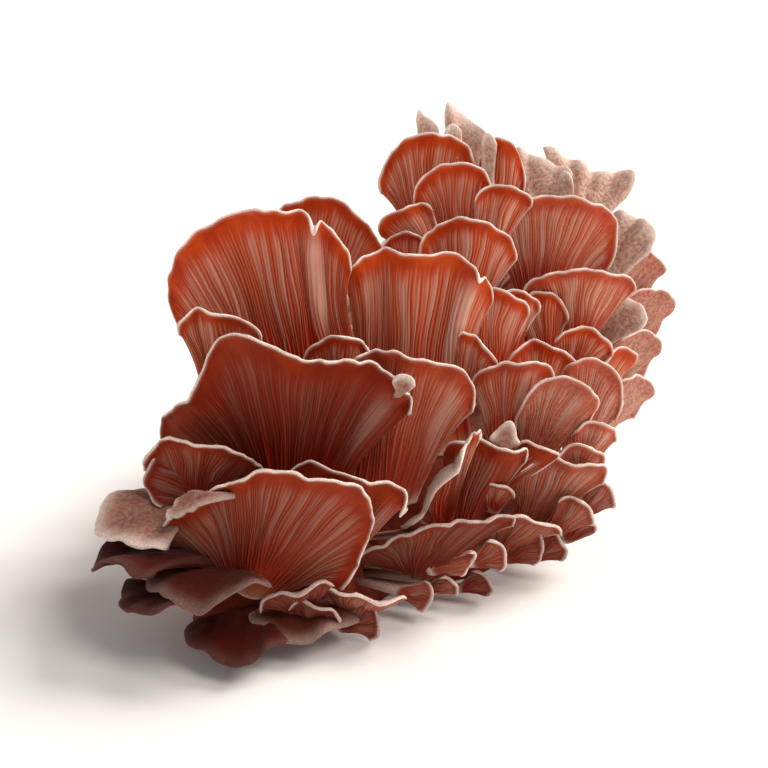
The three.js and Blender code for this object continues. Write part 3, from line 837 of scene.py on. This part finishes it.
    def half_flesh(self, u: Array, t: Array) -> Array:
        """Gives half the flesh: an oval stem that thins to a flat fan with a blunt bead round it.

        Args:
            u: Places across the fan.
            t: Places along it.

        Returns:
            Half the thickness at each place, in millimetres.
        """
        left = 1 - t
        middle = (self.stem_half() - RIM_HALF) * left ** THINNING
        bead = BEAD * bell(left * self.length - BEAD_IN, BEAD_WIDTH)
        return RIM_HALF * (1 - RIM_THINNING * t ** 6) + bead + middle * np.maximum(1 - u * u, 0) ** (0.5 * left)

    def sway(self, column: Array, t: Array, random: np.random.Generator) -> Array:
        """Gives how far the gills stray sideways, in gill spacings.

        Neighbours stray together by a slow wave, and each one a little by itself.

        Args:
            column: Places across the fan, counted in gills.
            t: Places along it.
            random: The stream that the phases come from.

        Returns:
            The shift at each place.
        """
        own = np.stack((random.random(self.gill_count), random.random(self.gill_count)))
        k = np.clip(np.floor(column - 0.5).astype(int), 0, self.gill_count - 2)
        f = np.clip(column - 0.5 - k, 0, 1)
        alone = [SWAY_ALONE * np.sin((7 + 9 * own[0][k + n]) * t + 2 * np.pi * own[1][k + n]) for n in (0, 1)]
        together = SWAY_SLOW * np.sin(6 * t + column * 0.35 + 6 * random.random())
        together = together + SWAY_QUICK * np.sin(13 * t - column * 0.21 + 6 * random.random())
        edges = np.minimum(np.minimum(column, self.gill_count - column) / 3, 1)
        return (together + alone[0] * (1 - f) + alone[1] * f) * np.sin(np.pi * t) * edges

    def tone_shift(self, u: Array, t: Array) -> Array:
        """Gives the painted highlight along the creases: how far the gills there are made pale.

        Args:
            u: Places across the fan.
            t: Places along the fan.

        Returns:
            The paleness to add: a bell across each crease, fading out towards the foot.
        """
        pale_share = np.zeros_like(u)
        for where, width, _ in self.creases:
            # Painted highlight: the gills along each crease are made pale where the fold turns to the light.
            pale_share = pale_share + CREASE_HIGHLIGHT * bell(u - where, CREASE_HIGHLIGHT_WIDTH * width)
        return pale_share * smoothstep(0.25, 0.7, t)

    def gills(self, cell: Indices, t: Array, random: np.random.Generator) -> tuple[Array, Array]:
        """Gives how strongly each gill stands and how pale it is.

        Every fourth gill runs from the foot, the one between starts later and the others later still. Each
        dies away at its own place near gills_end.

        Args:
            cell: The gill's number at each column.
            t: Places along the fan.
            random: The stream that the gills' differences come from.

        Returns:
            The strength and the paleness, 0 to 1, at each place.
        """
        number = np.arange(self.gill_count)
        start = np.select((number % 4 == 0, number % 4 == 2), (0.0, LATE_STARTS[0]), LATE_STARTS[1])
        start = start + 0.12 * random.random(self.gill_count)
        end = self.gills_end + 0.08 * (random.random(self.gill_count) - 0.5)
        tall = 0.6 + 0.5 * random.random(self.gill_count)
        pale = random.random(self.gill_count) ** 1.3
        rise = smoothstep(start[cell] - 0.08, start[cell] + 0.08, t)
        fall = 1 - smoothstep(end[cell] - 2 * self.fade, end[cell], t)
        drift = 0.5 + 0.5 * np.sin(5 * t + 6 * pale[cell])
        return tall[cell] * rise * fall, pale[cell] * drift

    def skin(self, random: np.random.Generator) -> Skin:
        """Works out the whole closed surface.

        The gilled face is the middle surface moved along its normal by half the flesh plus the gills, whose
        cross section is sin^2; the downy face is moved the other way on a coarser grid. The two meet in a
        rounded edge, and both close in the root's tip.

        Args:
            random: The stream that all unevenness comes from.

        Returns:
            The surface with its attributes.
        """
        steps = self.stations()
        rows = len(steps) - 1
        columns = self.gill_count * GILL_STEPS
        count = np.arange(columns + 1)
        t, column = np.meshgrid(steps, count / GILL_STEPS, indexing="ij")
        u = np.clip(2 * (column + self.sway(column, t, random)) / self.gill_count - 1, -1, 1)
        middle = self.fan(u, t, random)
        normal = unit(np.cross(np.gradient(middle, axis=1), np.gradient(middle, axis=0)))
        cell = np.minimum(count // GILL_STEPS, self.gill_count - 1)
        strength, pale = self.gills(cell[None, :], t, random)
        sharpness = 0.9 + 1.2 * random.random(self.gill_count)
        ridge = np.abs(np.sin(np.pi * column)) ** (2 * sharpness[cell])
        depth = held(self.length * GILL_DEPTH_SHARE, GILL_DEPTH_MIN, GILL_DEPTH_MAX)
        to_margin = (1 - t) * self.length * self.reach(u)
        to_side = np.minimum(count, columns - count)[None, :]
        round_t = np.sqrt(np.clip(1 - np.clip(1 - (1 - t) * self.length / EDGE_ROUND, 0, 1) ** 2, 0, 1))
        round_u = np.sqrt(np.clip(1 - np.clip(1 - to_side / GILL_STEPS, 0, 1) ** 2, 0, 1))
        half = self.half_flesh(u, t) * round_t * round_u
        taper = 1 - GILL_TAPER * t
        folds = ripples(u * self.arc() / 2, PLEATS, random) * np.sin(np.pi * t) * round_u
        face = middle + normal * (half + depth * taper * strength * ridge * round_u + folds)[..., None]
        side_gap = to_side * self.arc() / columns * t
        near = bell(np.minimum(to_margin, side_gap + RIM_SIDE_GAP), RIM_LINE)
        back_rows = np.arange(0, rows - 1, BACK_ROW_STEP)
        back_columns = np.arange(BACK_COLUMN_STEP, columns - BACK_COLUMN_STEP + 1, BACK_COLUMN_STEP)
        pick = np.ix_(back_rows, back_columns)
        rear = middle[pick]
        nap = sum(height * lumps(rear, size, NAP_DIRECTIONS, random) for size, height in NAP)
        rear = rear - normal[pick] * (half[pick] + nap * np.minimum(half[pick], 1))[..., None]
        root = root_of(np.asarray(self.foot, dtype=float)) if self.root is None else self.root
        front_index = numbered(face)
        back_index = numbered(rear, front_index.size)
        tip = front_index.size + back_index.size
        hem = held(self.length * HEM_SHARE, HEM_MIN, HEM_MAX)
        wide = bell(np.minimum(to_margin, side_gap + HEM_SIDE_GAP)[pick], hem)
        clean = FOOT_PALENESS + (1 - FOOT_PALENESS) * smoothstep(0.15, 0.65, t)
        front = {
            "gill": self.chalk * ridge * np.clip(strength * 1.4, 0, 1) * clean,
            "band": smoothstep(self.gills_end - 2 * self.fade, self.gills_end + 0.02, t),
            "margin": near,
            "down": np.maximum(1 - np.minimum(round_t * round_u, 1) ** 2, self.frost),
            # The streaks are the gills' own pale edges plus the painted highlight along the creases.
            "streak": np.clip(self.chalk * pale * strength * clean + self.tone_shift(u, t), 0, 1),
            "stem": 1 - smoothstep(0.0, 0.15, t),
        }
        back = {"margin": HEM_PALENESS * wide, "down": np.ones(rear.shape[:2])}
        nothing = np.zeros(rear.shape[:2])
        attributes = {
            name: np.concatenate((values.ravel(), back.get(name, nothing).ravel(), [0.0]))
            for name, values in front.items()
        }
        # How dark the whole cap is made: partly older flesh, partly painted shade.
        attributes["age"] = np.full(tip + 1, self.age)
        return Skin(
            np.concatenate((face.reshape(-1, 3), rear.reshape(-1, 3), np.asarray(root, dtype=float)[None, :])),
            np.concatenate((grid_quads(front_index), grid_quads(back_index)[:, ::-1])),
            closing(front_index, back_index, back_rows, back_columns, tip),
            attributes,
        )


# Each row gives name, foot, crown, left, right, rim, cup, bow and wave, then what differs from the usual.
MUSHROOMS = [
    # The tongue at the front left, nearest the viewer.
    # Most caps here are darkened a lot: partly older flesh, partly painted shade where they lie in shadow.
    Mushroom("fore_low", (-51, -74, 18), (-37, -86, 70), 74, 78, (0.74, 0.66, 0.74, 0.96, 1.02, 0.8, 0.6), 0.75,
             4, (2, 3, 0.6), age=0.56, fade=0.09, chalk=0.85),
    Mushroom("fore_high", (-40, -45, 37), (-34, -59, 96), 84, 50,
             (0.9, 0.88, 0.86, 1.09, 1, 0.98, 1.02, 1.01, 0.96), 0.7, 4, (3, 2.5, 1.2), stem=16, age=0.6,
             creases=((0.7, 0.12, 3),), curls=((0.97, 0.06, 0.86, 240),), fade=0.1, chalk=0.38),
    Mushroom("fore_right", (-36, -60, 7), (-13, -70, 57), 30, 20, (0.95, 0.97, 1, 1.04, 1.1), 0.8, 4,
             (2, 2, 2.5), age=0.45, curls=((0.95, 0.16, 0.82, 200),), fade=0.12),
    Mushroom("left_small", (-71, -56, 40), (-65, -68, 69), 60, 62, (0.72, 0.85, 0.95, 1, 1, 0.92, 0.8), 0.6, 2,
             (2, 1.5, 0.5), age=0.65, fade=0.09, chalk=0.7),
    Mushroom("left_shelf", (-73, -58, 37), (-100, -71, 40), 56, 60, (0.8, 1, 0.9), 0.5, 3, (2, 2, 1),
             faces=UNDER, age=0.36),
    Mushroom("left_shelf_low", (-63, -68, 26), (-100, -78, 32), 40, 46, (0.9, 1, 0.9), 0.4, 2, (2, 1.5, 2),
             faces=DOWN, age=1),
    Mushroom("fore_lip", (-56, -73, 24), (-72, -98, 29), 60, 66, (0.9, 1, 1), 0.4, 2, (2, 1.5, 0), faces=DOWN,
             age=0.95),
    Mushroom("low_left_shelf", (-60, -70, 16), (-89, -89, 22), 50, 56, (0.85, 1, 0.9), 0.4, 2, (2, 1.5, 1),
             faces=DOWN, age=1),
    Mushroom("lowest", (-49, -74, 10), (-57, -100, 9), 62, 50, (0.9, 1, 0.9), 0.3, 1, (2, 1, 1), faces=DOWN,
             age=1),
    Mushroom("lowest_right", (-34, -66, 9), (-33, -90, 10), 55, 60, (1, 1, 1), 0.4, 2, (2, 1, 2), faces=DOWN,
             age=0.9),
    # The tall fans at the upper left and in the middle.
    Mushroom("upper_left", (-38, -13, 54), (-50, -23, 135), 46, 28, (0.78, 0.94, 1, 0.95, 0.82), 0.8, 5,
             (3, 2.5, 0.3), stem=34, gills_end=0.97, creases=((0.5, 0.08, 4.5),),
             curls=((0.5, 0.035, 0.94, 150),), chalk=0.8),
    Mushroom("upper_left_back", (-33, 18, 88), (-29, 11, 133), 35, 50, (0.85, 1, 0.72), 0.5, 2, (2, 1.5, 0)),
    Mushroom("left_tucked", (-64, -32, 67), (-65, -42, 105), 20, 34, (0.93, 1, 0.84), 0.5, 2, (2, 1.5, 1),
             age=0.3),
    Mushroom("middle", (0, -8, 38), (2, -13, 118), 20, 31, (0.94, 1, 1, 0.99, 0.92), 0.8, 5, (3, 2.5, 2),
             stem=30, gills_end=0.97, creases=((0.62, 0.1, 3),),
             curls=((0.66, 0.05, 0.94, 150), (1.0, 0.12, 0.9, 120)), chalk=0.95),
    Mushroom("tucked_bit", (-23, -29, 61), (-22, -35, 94), 30, 28, EVEN, 0.4, 2, (2, 1, 1)),
    Mushroom("middle_low", (-7, -34, 32), (0, -42, 90), 20, 38, (0.98, 1, 1, 0.97, 0.88), 0.7, 3, (2, 2, 1),
             stem=12, age=0.25, gills_end=0.96, frost=0.1),
    # The crest.
    Mushroom("crest_left", (11, 56, 105), (11, 50, 152), 42, 34, (0.7, 1, 0.83), 0.6, 3, (2, 2, 1)),
    Mushroom("crest_mid", (24, 38, 97), (21, 33, 143), 32, 24, (0.82, 1, 0.82), 0.6, 3, (2, 1.5, 1),
             chalk=0.75),
    Mushroom("crest_left_lobe", (21, 33, 94), (-1, 28, 126), 22, 18, (1, 1, 0.9), 0.4, 2, (2, 1, 1)),
    Mushroom("crest_right_lobe", (31, 33, 98), (41, 29, 134), 22, 20, (0.9, 1, 1), 0.5, 2, (2, 1, 1)),
    Mushroom("crest_folded", (38, 56, 100), (41, 53, 149), 15, 24, (0.85, 1, 0.65), 1.2, 2, (2, 1, 1)),
    Mushroom("shoulder", (23, 17, 80), (21, 13, 125), 30, 42, (0.8, 1, 0.84), 0.7, 3, (2, 2, 1), chalk=0.85),
    Mushroom("shoulder_bit", (2, 24, 90), (1, 23, 118), 30, 24, (0.8, 1, 0.8), 0.4, 2, (2, 1, 1)),
    Mushroom("crest_tip_left", (12, 64, 126), (9, 70, 159), 16, 7, (0.72, 0.84, 0.93, 1, 0.82), 0.8, 1,
             (1, 1, 1), faces=AWAY, roll=0.6),
    Mushroom("crest_tip", (27, 63, 117), (23, 71, 161), 24, 9, (0.74, 0.8, 0.89, 0.98, 1, 0.82), 0.9, 2,
             (1.5, 1.5, 2), faces=AWAY, roll=0.6),
    # The right flank, in rows from the crest down.
    Mushroom("right_crest", (57, 39, 82), (63, 32, 130), 46, 52, (0.86, 0.95, 1, 0.98, 0.72), 0.6, 4, (2, 2, 1),
             stem=8, frost=0.1),
    Mushroom("right_mid", (70, 30, 67), (67, 22, 103), 46, 52, (0.95, 0.99, 1, 1, 1.02), 0.6, 3, (2, 2, 0),
             frost=0.1),
    Mushroom("right_corner", (80, 38, 67), (95, 30, 87), 24, 28, (0.95, 1, 0.95, 1), 0.5, 1, (2, 1.6, 0),
             faces=(0.5, 1, -0.5), roll=0.6),
    Mushroom("right_shadow", (59, 25, 63), (54, 23, 94), 26, 30, (0.85, 1, 0.7), 0.4),
    Mushroom("right_fill", (55, 46, 52), (62, 50, 98), 34, 30),
    Mushroom("right_low", (65, 17, 55), (73, 10, 82), 32, 32, (0.9, 1, 0.9), 0.4),
    Mushroom("slot_top", (41, 11, 70), (45, 10, 98), 24, 24, (0.9, 1, 0.85)),
    Mushroom("slot", (33, 4, 58), (37, 3, 100), 16, 20, (0.95, 1, 0.9), 0.4),
    Mushroom("slot_left", (22, -6, 55), (29, -11, 83), 18, 32, (1.2, 1, 0.7)),
    Mushroom("centre_right", (39, -12, 40), (41, -17, 79), 32, 28, (0.85, 1, 0.95), 0.6, 3, (2, 1.5, 0),
             frost=0.1),
    Mushroom("centre_right_back", (52, 4, 43), (53, 1, 80), 28, 36, (0.9, 1, 0.8)),
    Mushroom("tongue", (48, -13, 36), (63, -22, 73), 45, 28, (0.42, 0.85, 1, 0.93, 0.7), frost=0.3),
    Mushroom("wing", (68, 3, 30), (76, 0, 73), 22, 30, (0.95, 1, 0.6), 0.4, frost=0.25),
    Mushroom("wing_back", (72, 20, 34), (90, 21, 71), 20, 26, (0.9, 1, 0.8), 0.4, faces=(0.7, -0.7, 0)),
    Mushroom("low_bit", (68, -16, 33), (72, -19, 56), 28, 30, EVEN, 0.4, frost=0.25),
    Mushroom("low_rim", (64, -23, 26), (64, -29, 51), 28, 30, EVEN, 0.4, frost=0.25),
    Mushroom("trumpet", (18, -34, 8), (31, -45, 58), 22, 18, (0.94, 1, 1, 1.02), 0.9, 3, (2, 1.5, 0), age=0.55,
             chalk=0.5),
    Mushroom("ribbon", (13, -48, 27), (18, -54, 63), 104, 10, (0.42, 0.34, 0.42, 1, 1.08, 1.16, 1.2), 0.5, 1,
             (2, 0.6, 0), stem=3, age=0.25, curls=((-0.3, 0.5, 0.62, 130),)),
    Mushroom("long_low", (4, -56, 13), (15, -67, 40), 112, 28, (0.9, 0.66, 0.58, 0.66, 1, 1.12, 1.24, 1.4, 1.5),
             0.4, age=0.75, frost=0.25),
    Mushroom("low_right", (33, -40, 12), (44, -50, 32), 40, 30, (0.75, 0.9, 1, 1.1, 1.2), 0.4, age=0.55,
             frost=0.25),
    Mushroom("flank", (46, -26, 14), (58, -36, 48), 40, 30, (0.65, 0.9, 1, 1.1, 1.06), age=0.3, frost=0.25),
    # Caps behind the crest, whose downy tops show over it, and the far right side.
    Mushroom("back_1", (59, 64, 108), (54, 80, 141), 38, 14, (0.82, 0.84, 0.9, 1, 1.02, 0.85), 0.5, 1,
             (3, 1.2, 0.6), faces=AWAY, roll=0.6),
    Mushroom("back_2", (75, 68, 104), (84, 88, 131), 34, 38, (1.0, 1.22, 1.08, 1, 1.06, 1.16, 1.36), 0.5, 1,
             (4, 1.8, 1.5), faces=AWAY, roll=0.6),
    Mushroom("back_3", (84, 52, 86), (100, 61, 116), 30, 27, (0.78, 0.95, 0.96, 1.02, 0.9), 0.6, 1,
             (3, 1.6, 0.4), faces=(0.6, 0.8, 0), roll=0.6),
    *(
        Mushroom(f"far_{k}", foot, crown, spread, spread, wave=(2, 1.5, 0), faces=SIDEWAYS, frost=0.65)
        for k, (foot, crown, spread) in enumerate((
            ((76, 60, 54), (113, 75, 95), 22),
            ((78, 52, 44), (118, 68, 80), 22),
            ((76, 42, 34), (111, 56, 64), 24),
            ((74, 28, 22), (105, 42, 50), 24),
        ), 1)
    ),
]

# Folded bits of margin, which grow on a cap, and small scale-like caps, which grow on the base.
FOLDS = [
    Mushroom("fore_low_flap", (-56, -78.5, 55), (-76, -76, 49.5), 15, 17, (1, 0.9, 0.95, 1.02), 0.3, 1,
             (2, 0.8, 1), faces=(0, 0.5, -1), stem=0.8, age=0.5, roll=0.5, root=(-47, -75, 54)),
    Mushroom("shelf_back", (-62, -57, 43), (-86, -61, 53), 24, 40, (0.8, 0.95, 1, 1, 0.9), 0.5, 1, (2, 1, 1),
             age=0.75),
    Mushroom("trumpet_fold", (34, -41, 54), (36, -40, 64.5), 56, 60, (0.7, 0.68, 1, 0.72, 0.72), 0.8, 0.5,
             (1, 0.5, 0), faces=AWAY, roll=0.4, age=0.3, root=(33, -40, 49)),
    Mushroom("fore_high_curl", (-2, -59, 82), (0, -62, 90), 44, 40, (0.8, 1, 0.8), 1.4, 0.5, (1, 0.4, 0),
             faces=(0, 1, -0.3), roll=0.4, age=0.3, root=(-5, -56, 79)),
    Mushroom("trumpet_lobe", (33, -30, 34), (48, -38, 54), 18, 28, (0.85, 0.95, 1, 1.12, 1.08, 0.6), 0.7, 2,
             (1, 1, 0), age=0.5, gills_end=0.82, fade=0.12),
    Mushroom("trumpet_cup", (32, -38, 29), (35, -42, 41), 42, 34, EVEN, 0.7, 1, (1, 0.5, 0), age=0.4),
    Mushroom("crest_knob", (21, 58, 118), (21, 57, 154), 8, 8, (0.92, 1, 0.92), 1.2, 0.5, (1, 0.4, 0),
             faces=AWAY, roll=0.5),
    Mushroom("crest_fold", (35, 53, 122), (35, 50, 151), 8, 9, (0.85, 1, 0.9), 0.9, 0.5, (1, 0.6, 0),
             faces=AWAY, roll=0.5),
    Mushroom("back_cone", (68, 61, 108), (69, 66, 134), 12, 11, (0.6, 0.92, 1, 0.75), 1, 0.5, (1, 0.5, 0),
             faces=AWAY, roll=0.4),
    *(
        Mushroom(f"scale_{k}", foot, crown, left, right, rim, cup, bow, (2, height, phase), age=age, frost=0.25)
        for k, (foot, crown, left, right, rim, cup, bow, height, phase, age) in enumerate((
            ((24, -52, 16), (35, -54, 20), 46, 36, (1, 1, 1, 0.95), 0.4, 0.6, 0.5, 0, 0.6),
            ((36, -42, 12), (49, -44, 17), 46, 34, (1.3, 1.15, 1, 0.9), 0.4, 0.6, 0.5, 1, 0.75),
            ((9, -58, 17), (25, -61, 23), 14, 34, (1.05, 1, 0.8, 0.66), 0.4, 0.6, 0.5, 2, 0.55),
            ((7, -58, 9), (18, -61, 13), 30, 24, (0.8, 1, 0.95), 0.4, 0.6, 0.5, 3, 0.7),
            ((-3, -63, 12), (9, -66, 9), 36, 26, (0.9, 1, 0.9), 0.4, 0.6, 0.5, 4, 0.7),
            ((-18, -74, 8), (-13, -81, 20), 66, 40, (1, 0.92, 1, 1.25, 1.55), 0.4, 0.8, 0.6, 5, 0.5),
            ((-22, -76, 6), (-8, -80, 10), 46, 34, (0.9, 1, 0.8), 0.4, 0.6, 0.5, 0, 0.8),
            ((54, -33, 17), (64, -37, 33), 26, 40, (0.8, 1, 0.9), 0.5, 0.6, 0.5, 1, 0.5),
            ((66, -24, 20), (75, -26, 34), 26, 40, (0.9, 1, 0.85), 0.5, 0.6, 0.5, 2, 0.5),
            ((46, -36, 9), (58, -40, 18), 40, 36, (1, 1, 0.8), 0.5, 0.6, 0.5, 2, 0.75),
            ((20, -52, 6), (31, -56, 9), 50, 26, (0.9, 1, 0.8), 0.5, 0.6, 0.5, 2, 0.85),
            ((60, -28, 12), (70, -30, 22), 40, 30, (0.9, 1, 0.8), 0.5, 0.6, 0.5, 3, 0.7),
            ((-34, -78, 13), (-38, -88, 26), 50, 62, (1, 0.95, 1, 1.1), 0.4, 0.8, 0.6, 1, 0.8),
            ((-31, -78, 8), (-28, -85, 19), 48, 50, (1, 0.95, 1, 1), 0.4, 0.8, 0.6, 2, 0.8),
        ), 1)
    ),
]


def seeded(seed: int) -> Iterator[float]:
    """Yields a repeatable stream of numbers from 0 to 1, the same as the solids use.

    Args:
        seed: The first state.

    Yields:
        The next number.
    """
    state = seed
    while True:
        state = state * 16807 % 2147483647
        yield state / 2147483647


@dataclass
class Rear:
    """Caps on the rear, low and high by turns, that look the way the larger mound's skin does."""

    count: int = 6
    start: float = 55.0
    step: float = 26.0
    length: float = 50.0
    feet: tuple[float, float] = (10, 42)
    rise: float = 0.8
    seed: int = 11

    def mushrooms(self) -> list[Mushroom]:
        """Lays out the caps.

        Returns:
            The caps, round the mound.
        """
        draw = seeded(self.seed)
        made = []
        for k in range(self.count):
            foot, outward = MOUNDS[0].stand(self.start + self.step * (k + 0.3 * next(draw)), self.feet[k % 2])
            length = self.length * (0.85 + 0.3 * next(draw))
            rise = np.array((0, 0, self.rise)) + outward * math.sqrt(1 - self.rise ** 2)
            made.append(Mushroom(f"rear_{k + 1}", tuple(foot), tuple(foot + rise * length), 44, 44,
                                 rim=(0.8, 1, 0.98, 0.8), cup=0.7, bow=4, wave=(2, 2, 6 * next(draw)),
                                 faces=tuple(outward)))
        return made


@dataclass
class Young:
    """Small young caps that cover the rear of a mound in rows, each between two of the row below."""

    mound: Mound
    sweep: tuple[float, float]
    heights: tuple[float, ...]
    gap: float = 26.0
    length: float = 28.0
    rise: float = 0.78
    # How dark the caps are made: partly older flesh, partly painted shade.
    age: float = 0.0
    seed: int = 23

    def mushrooms(self) -> list[Mushroom]:
        """Lays out the caps.

        Returns:
            The caps, row by row from the bottom.
        """
        draw = seeded(self.seed)
        start, end = self.sweep
        made = []
        for level, height in enumerate(self.heights):
            width = math.sqrt(self.mound.long * self.mound.short) * float(self.mound.share(height))
            count = max(3, round(width * math.radians(end - start) / self.gap))
            for k in range(count):
                place = (k + 0.5 * (level % 2) + 0.5 * next(draw)) / count
                foot, outward = self.mound.stand(start + (end - start) * place, height + 6 * next(draw))
                length = self.length * (0.7 + 0.6 * next(draw))
                rise = self.rise + 0.2 * (next(draw) - 0.5)
                along = np.array((0, 0, rise)) + outward * math.sqrt(1 - rise ** 2)
                along = unit(along + np.cross((0, 0, 1), outward) * (next(draw) - 0.5))
                made.append(Mushroom(f"young_{len(made) + 1}", tuple(foot), tuple(foot + along * length),
                                     32 + 26 * next(draw), 32 + 26 * next(draw), rim=(0.85, 1, 0.95, 0.8),
                                     cup=0.9, bow=2, wave=(2, 1, 6 * next(draw)), age=self.age,
                                     faces=tuple(outward - np.array((0, 0, 0.5)))))
        return made


@dataclass
class Cluster:
    """The whole cluster: the base of fused stems and every mushroom on it."""

    mushrooms: list[Mushroom]
    rear: Rear = field(default_factory=Rear)
    young: tuple[Young, ...] = (
        Young(MOUNDS[0], (52, 200), (8, 32, 56, 80), length=30),
        Young(MOUNDS[0], (24, 58), (52,), seed=41),
        Young(MOUNDS[0], (198, 245), (70,), seed=43),
        # The caps on the smaller front mound are darkened partly as painted shade.
        Young(MOUNDS[1], (110, 225), (8, 28), length=24, age=0.4, seed=31),
    )
    cap_finish: CapFlesh = field(default_factory=CapFlesh)
    base_finish: BaseFlesh = field(default_factory=BaseFlesh)

    def build_base(self) -> list[bpy.types.Object]:
        """Makes the mounds, which stand for the solid base.

        Returns:
            The pieces.
        """
        material = self.base_finish.material()
        pieces = []
        for k, mound in enumerate(MOUNDS):
            piece = mound.skin(np.random.default_rng(MOUND_SEED + k)).piece(f"base_mound_{k + 1}", material)
            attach(piece, BODY)
            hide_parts("base")
            pieces.append(piece)
        return pieces

    def build_caps(self) -> list[bpy.types.Object]:
        """Makes every mushroom, which stands for its solid, and the small ones between them.

        Returns:
            The pieces.
        """
        material = self.cap_finish.material()
        pieces = []
        for k, mushroom in enumerate((*self.mushrooms, *FOLDS, *self.rear.mushrooms())):
            piece = mushroom.skin(np.random.default_rng(CAP_SEED + k)).piece(f"{mushroom.name}_fruit", material)
            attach(piece, BODY)
            if mushroom.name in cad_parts:
                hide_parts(mushroom.name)
            pieces.append(piece)
        for k, young in enumerate(self.young):
            random = np.random.default_rng(YOUNG_SEED + k)
            caps = Skin.joined([cap.skin(random) for cap in young.mushrooms()])
            piece = caps.piece(f"young_caps_{k + 1}", material)
            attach(piece, BODY)
            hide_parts("base")
            pieces.append(piece)
        return pieces


@dataclass(frozen=True)
class Lamp:
    """A broad far light: where it shines from, how broad it looks in degrees, its power and its colour."""

    name: str
    at: Triple
    spread: float
    power: float
    colour: str


@dataclass
class Studio:
    """A white paper floor, soft lights and the camera, in millimetres."""

    camera_at: Triple = (-7, -376.9, 200.8)
    camera_aim: Triple = (-7, -1, 64)
    lens: float = 49.45
    floor_half: float = 7000.0
    floor_flat: float = 900.0
    floor_rise: float = 330.0
    floor_bend: float = 2500.0
    floor_drop: float = 0.2
    floor_sides: int = 96
    sensor: float = 36.0
    clip_start: float = 10.0
    sky_strength: float = 0.32
    lit_at: Triple = (0, 0, 60)
    lamps: tuple[Lamp, ...] = (
        Lamp("key", (750, 330, 900), spread=30, power=2.9, colour="#FFFAF4"),
        Lamp("side", (560, -330, 900), spread=25, power=1.3, colour="#FFF6EE"),
    )

    def aim(self, thing: bpy.types.Object, at: Triple, target: Triple) -> None:
        """Places a camera or light and turns it to a target.

        Args:
            thing: The camera or light.
            at: Its place.
            target: What it looks at.
        """
        thing.location = Vector(at) * METRES
        thing.rotation_euler = (Vector(target) - Vector(at)).to_track_quat("-Z", "Y").to_euler()
        bpy.context.scene.collection.objects.link(thing)

    def build_floor(self) -> bpy.types.Object:
        """Lays the floor just under the cut face: a disc that rises gently, then curves up into a wall.

        Returns:
            The floor.
        """
        out = np.linspace(0, self.floor_half, 41)[1:]
        up = self.floor_rise * np.clip((out - self.floor_flat) / (self.floor_half - self.floor_flat), 0, 1) ** 2
        turn = np.radians(np.linspace(6, 75, 16))
        out = np.concatenate((out, self.floor_half + self.floor_bend * (np.sin(turn[1:]) - np.sin(turn[0]))))
        up = np.concatenate((up, self.floor_rise + self.floor_bend * (np.cos(turn[0]) - np.cos(turn[1:]))))
        angle = np.linspace(0, 2 * np.pi, self.floor_sides, endpoint=False)
        circle = np.stack((np.cos(angle), np.sin(angle), 0 * angle), axis=-1)
        rings = out[:, None, None] * circle + (up - self.floor_drop)[:, None, None] * np.array((0, 0, 1))
        index = numbered(rings)
        closed = np.concatenate((index, index[:, :1]), axis=1)
        points = np.concatenate((rings.reshape(-1, 3), [[0, 0, -self.floor_drop]]))
        skin = Skin(points, grid_quads(closed)[:, ::-1], fan_round(index.size, closed[0]))
        floor = skin.piece("floor", Paper().material())
        return floor

    def light(self, lamp: Lamp) -> bpy.types.Object:
        """Adds a light that looks at the cluster.

        Args:
            lamp: The light's settings.

        Returns:
            The light.
        """
        sun = bpy.data.lights.new(lamp.name, "SUN")
        sun.angle = math.radians(lamp.spread)
        sun.energy = lamp.power
        sun.color = linear(lamp.colour)[:3]
        thing = bpy.data.objects.new(lamp.name, sun)
        self.aim(thing, lamp.at, self.lit_at)
        return thing

    def build(self) -> None:
        """Sets up the floor, the lights, the sky and the camera."""
        self.build_floor()
        for lamp in self.lamps:
            self.light(lamp)
        world = bpy.data.worlds.new("studio")
        world.use_nodes = True
        world.node_tree.nodes.clear()
        sky = add_node(world.node_tree, "ShaderNodeBackground",
                       {"Color": linear("#FFFFFF"), "Strength": self.sky_strength})
        add_node(world.node_tree, "ShaderNodeOutputWorld", {"Surface": sky.outputs[0]})
        bpy.context.scene.world = world
        bpy.context.scene.view_settings.view_transform = "Standard"
        lens = bpy.data.cameras.new("camera")
        lens.lens = self.lens
        lens.sensor_width = self.sensor
        lens.sensor_fit = "HORIZONTAL"
        lens.clip_start = self.clip_start * METRES
        camera = bpy.data.objects.new("camera", lens)
        self.aim(camera, self.camera_at, self.camera_aim)
        bpy.context.scene.camera = camera


def main() -> None:
    """Builds the cluster and the studio."""
    logging.basicConfig(level=logging.INFO, format="%(name)s: %(message)s")
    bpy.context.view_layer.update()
    cluster = Cluster(MUSHROOMS)
    pieces = cluster.build_base() + cluster.build_caps()
    for piece in pieces:
        log.info("%s: %d faces", piece.name, len(piece.data.polygons))
    log.info("%d pieces, %d faces", len(pieces), sum(len(piece.data.polygons) for piece in pieces))
    Studio().build()


if __name__ == "__main__":
    main()
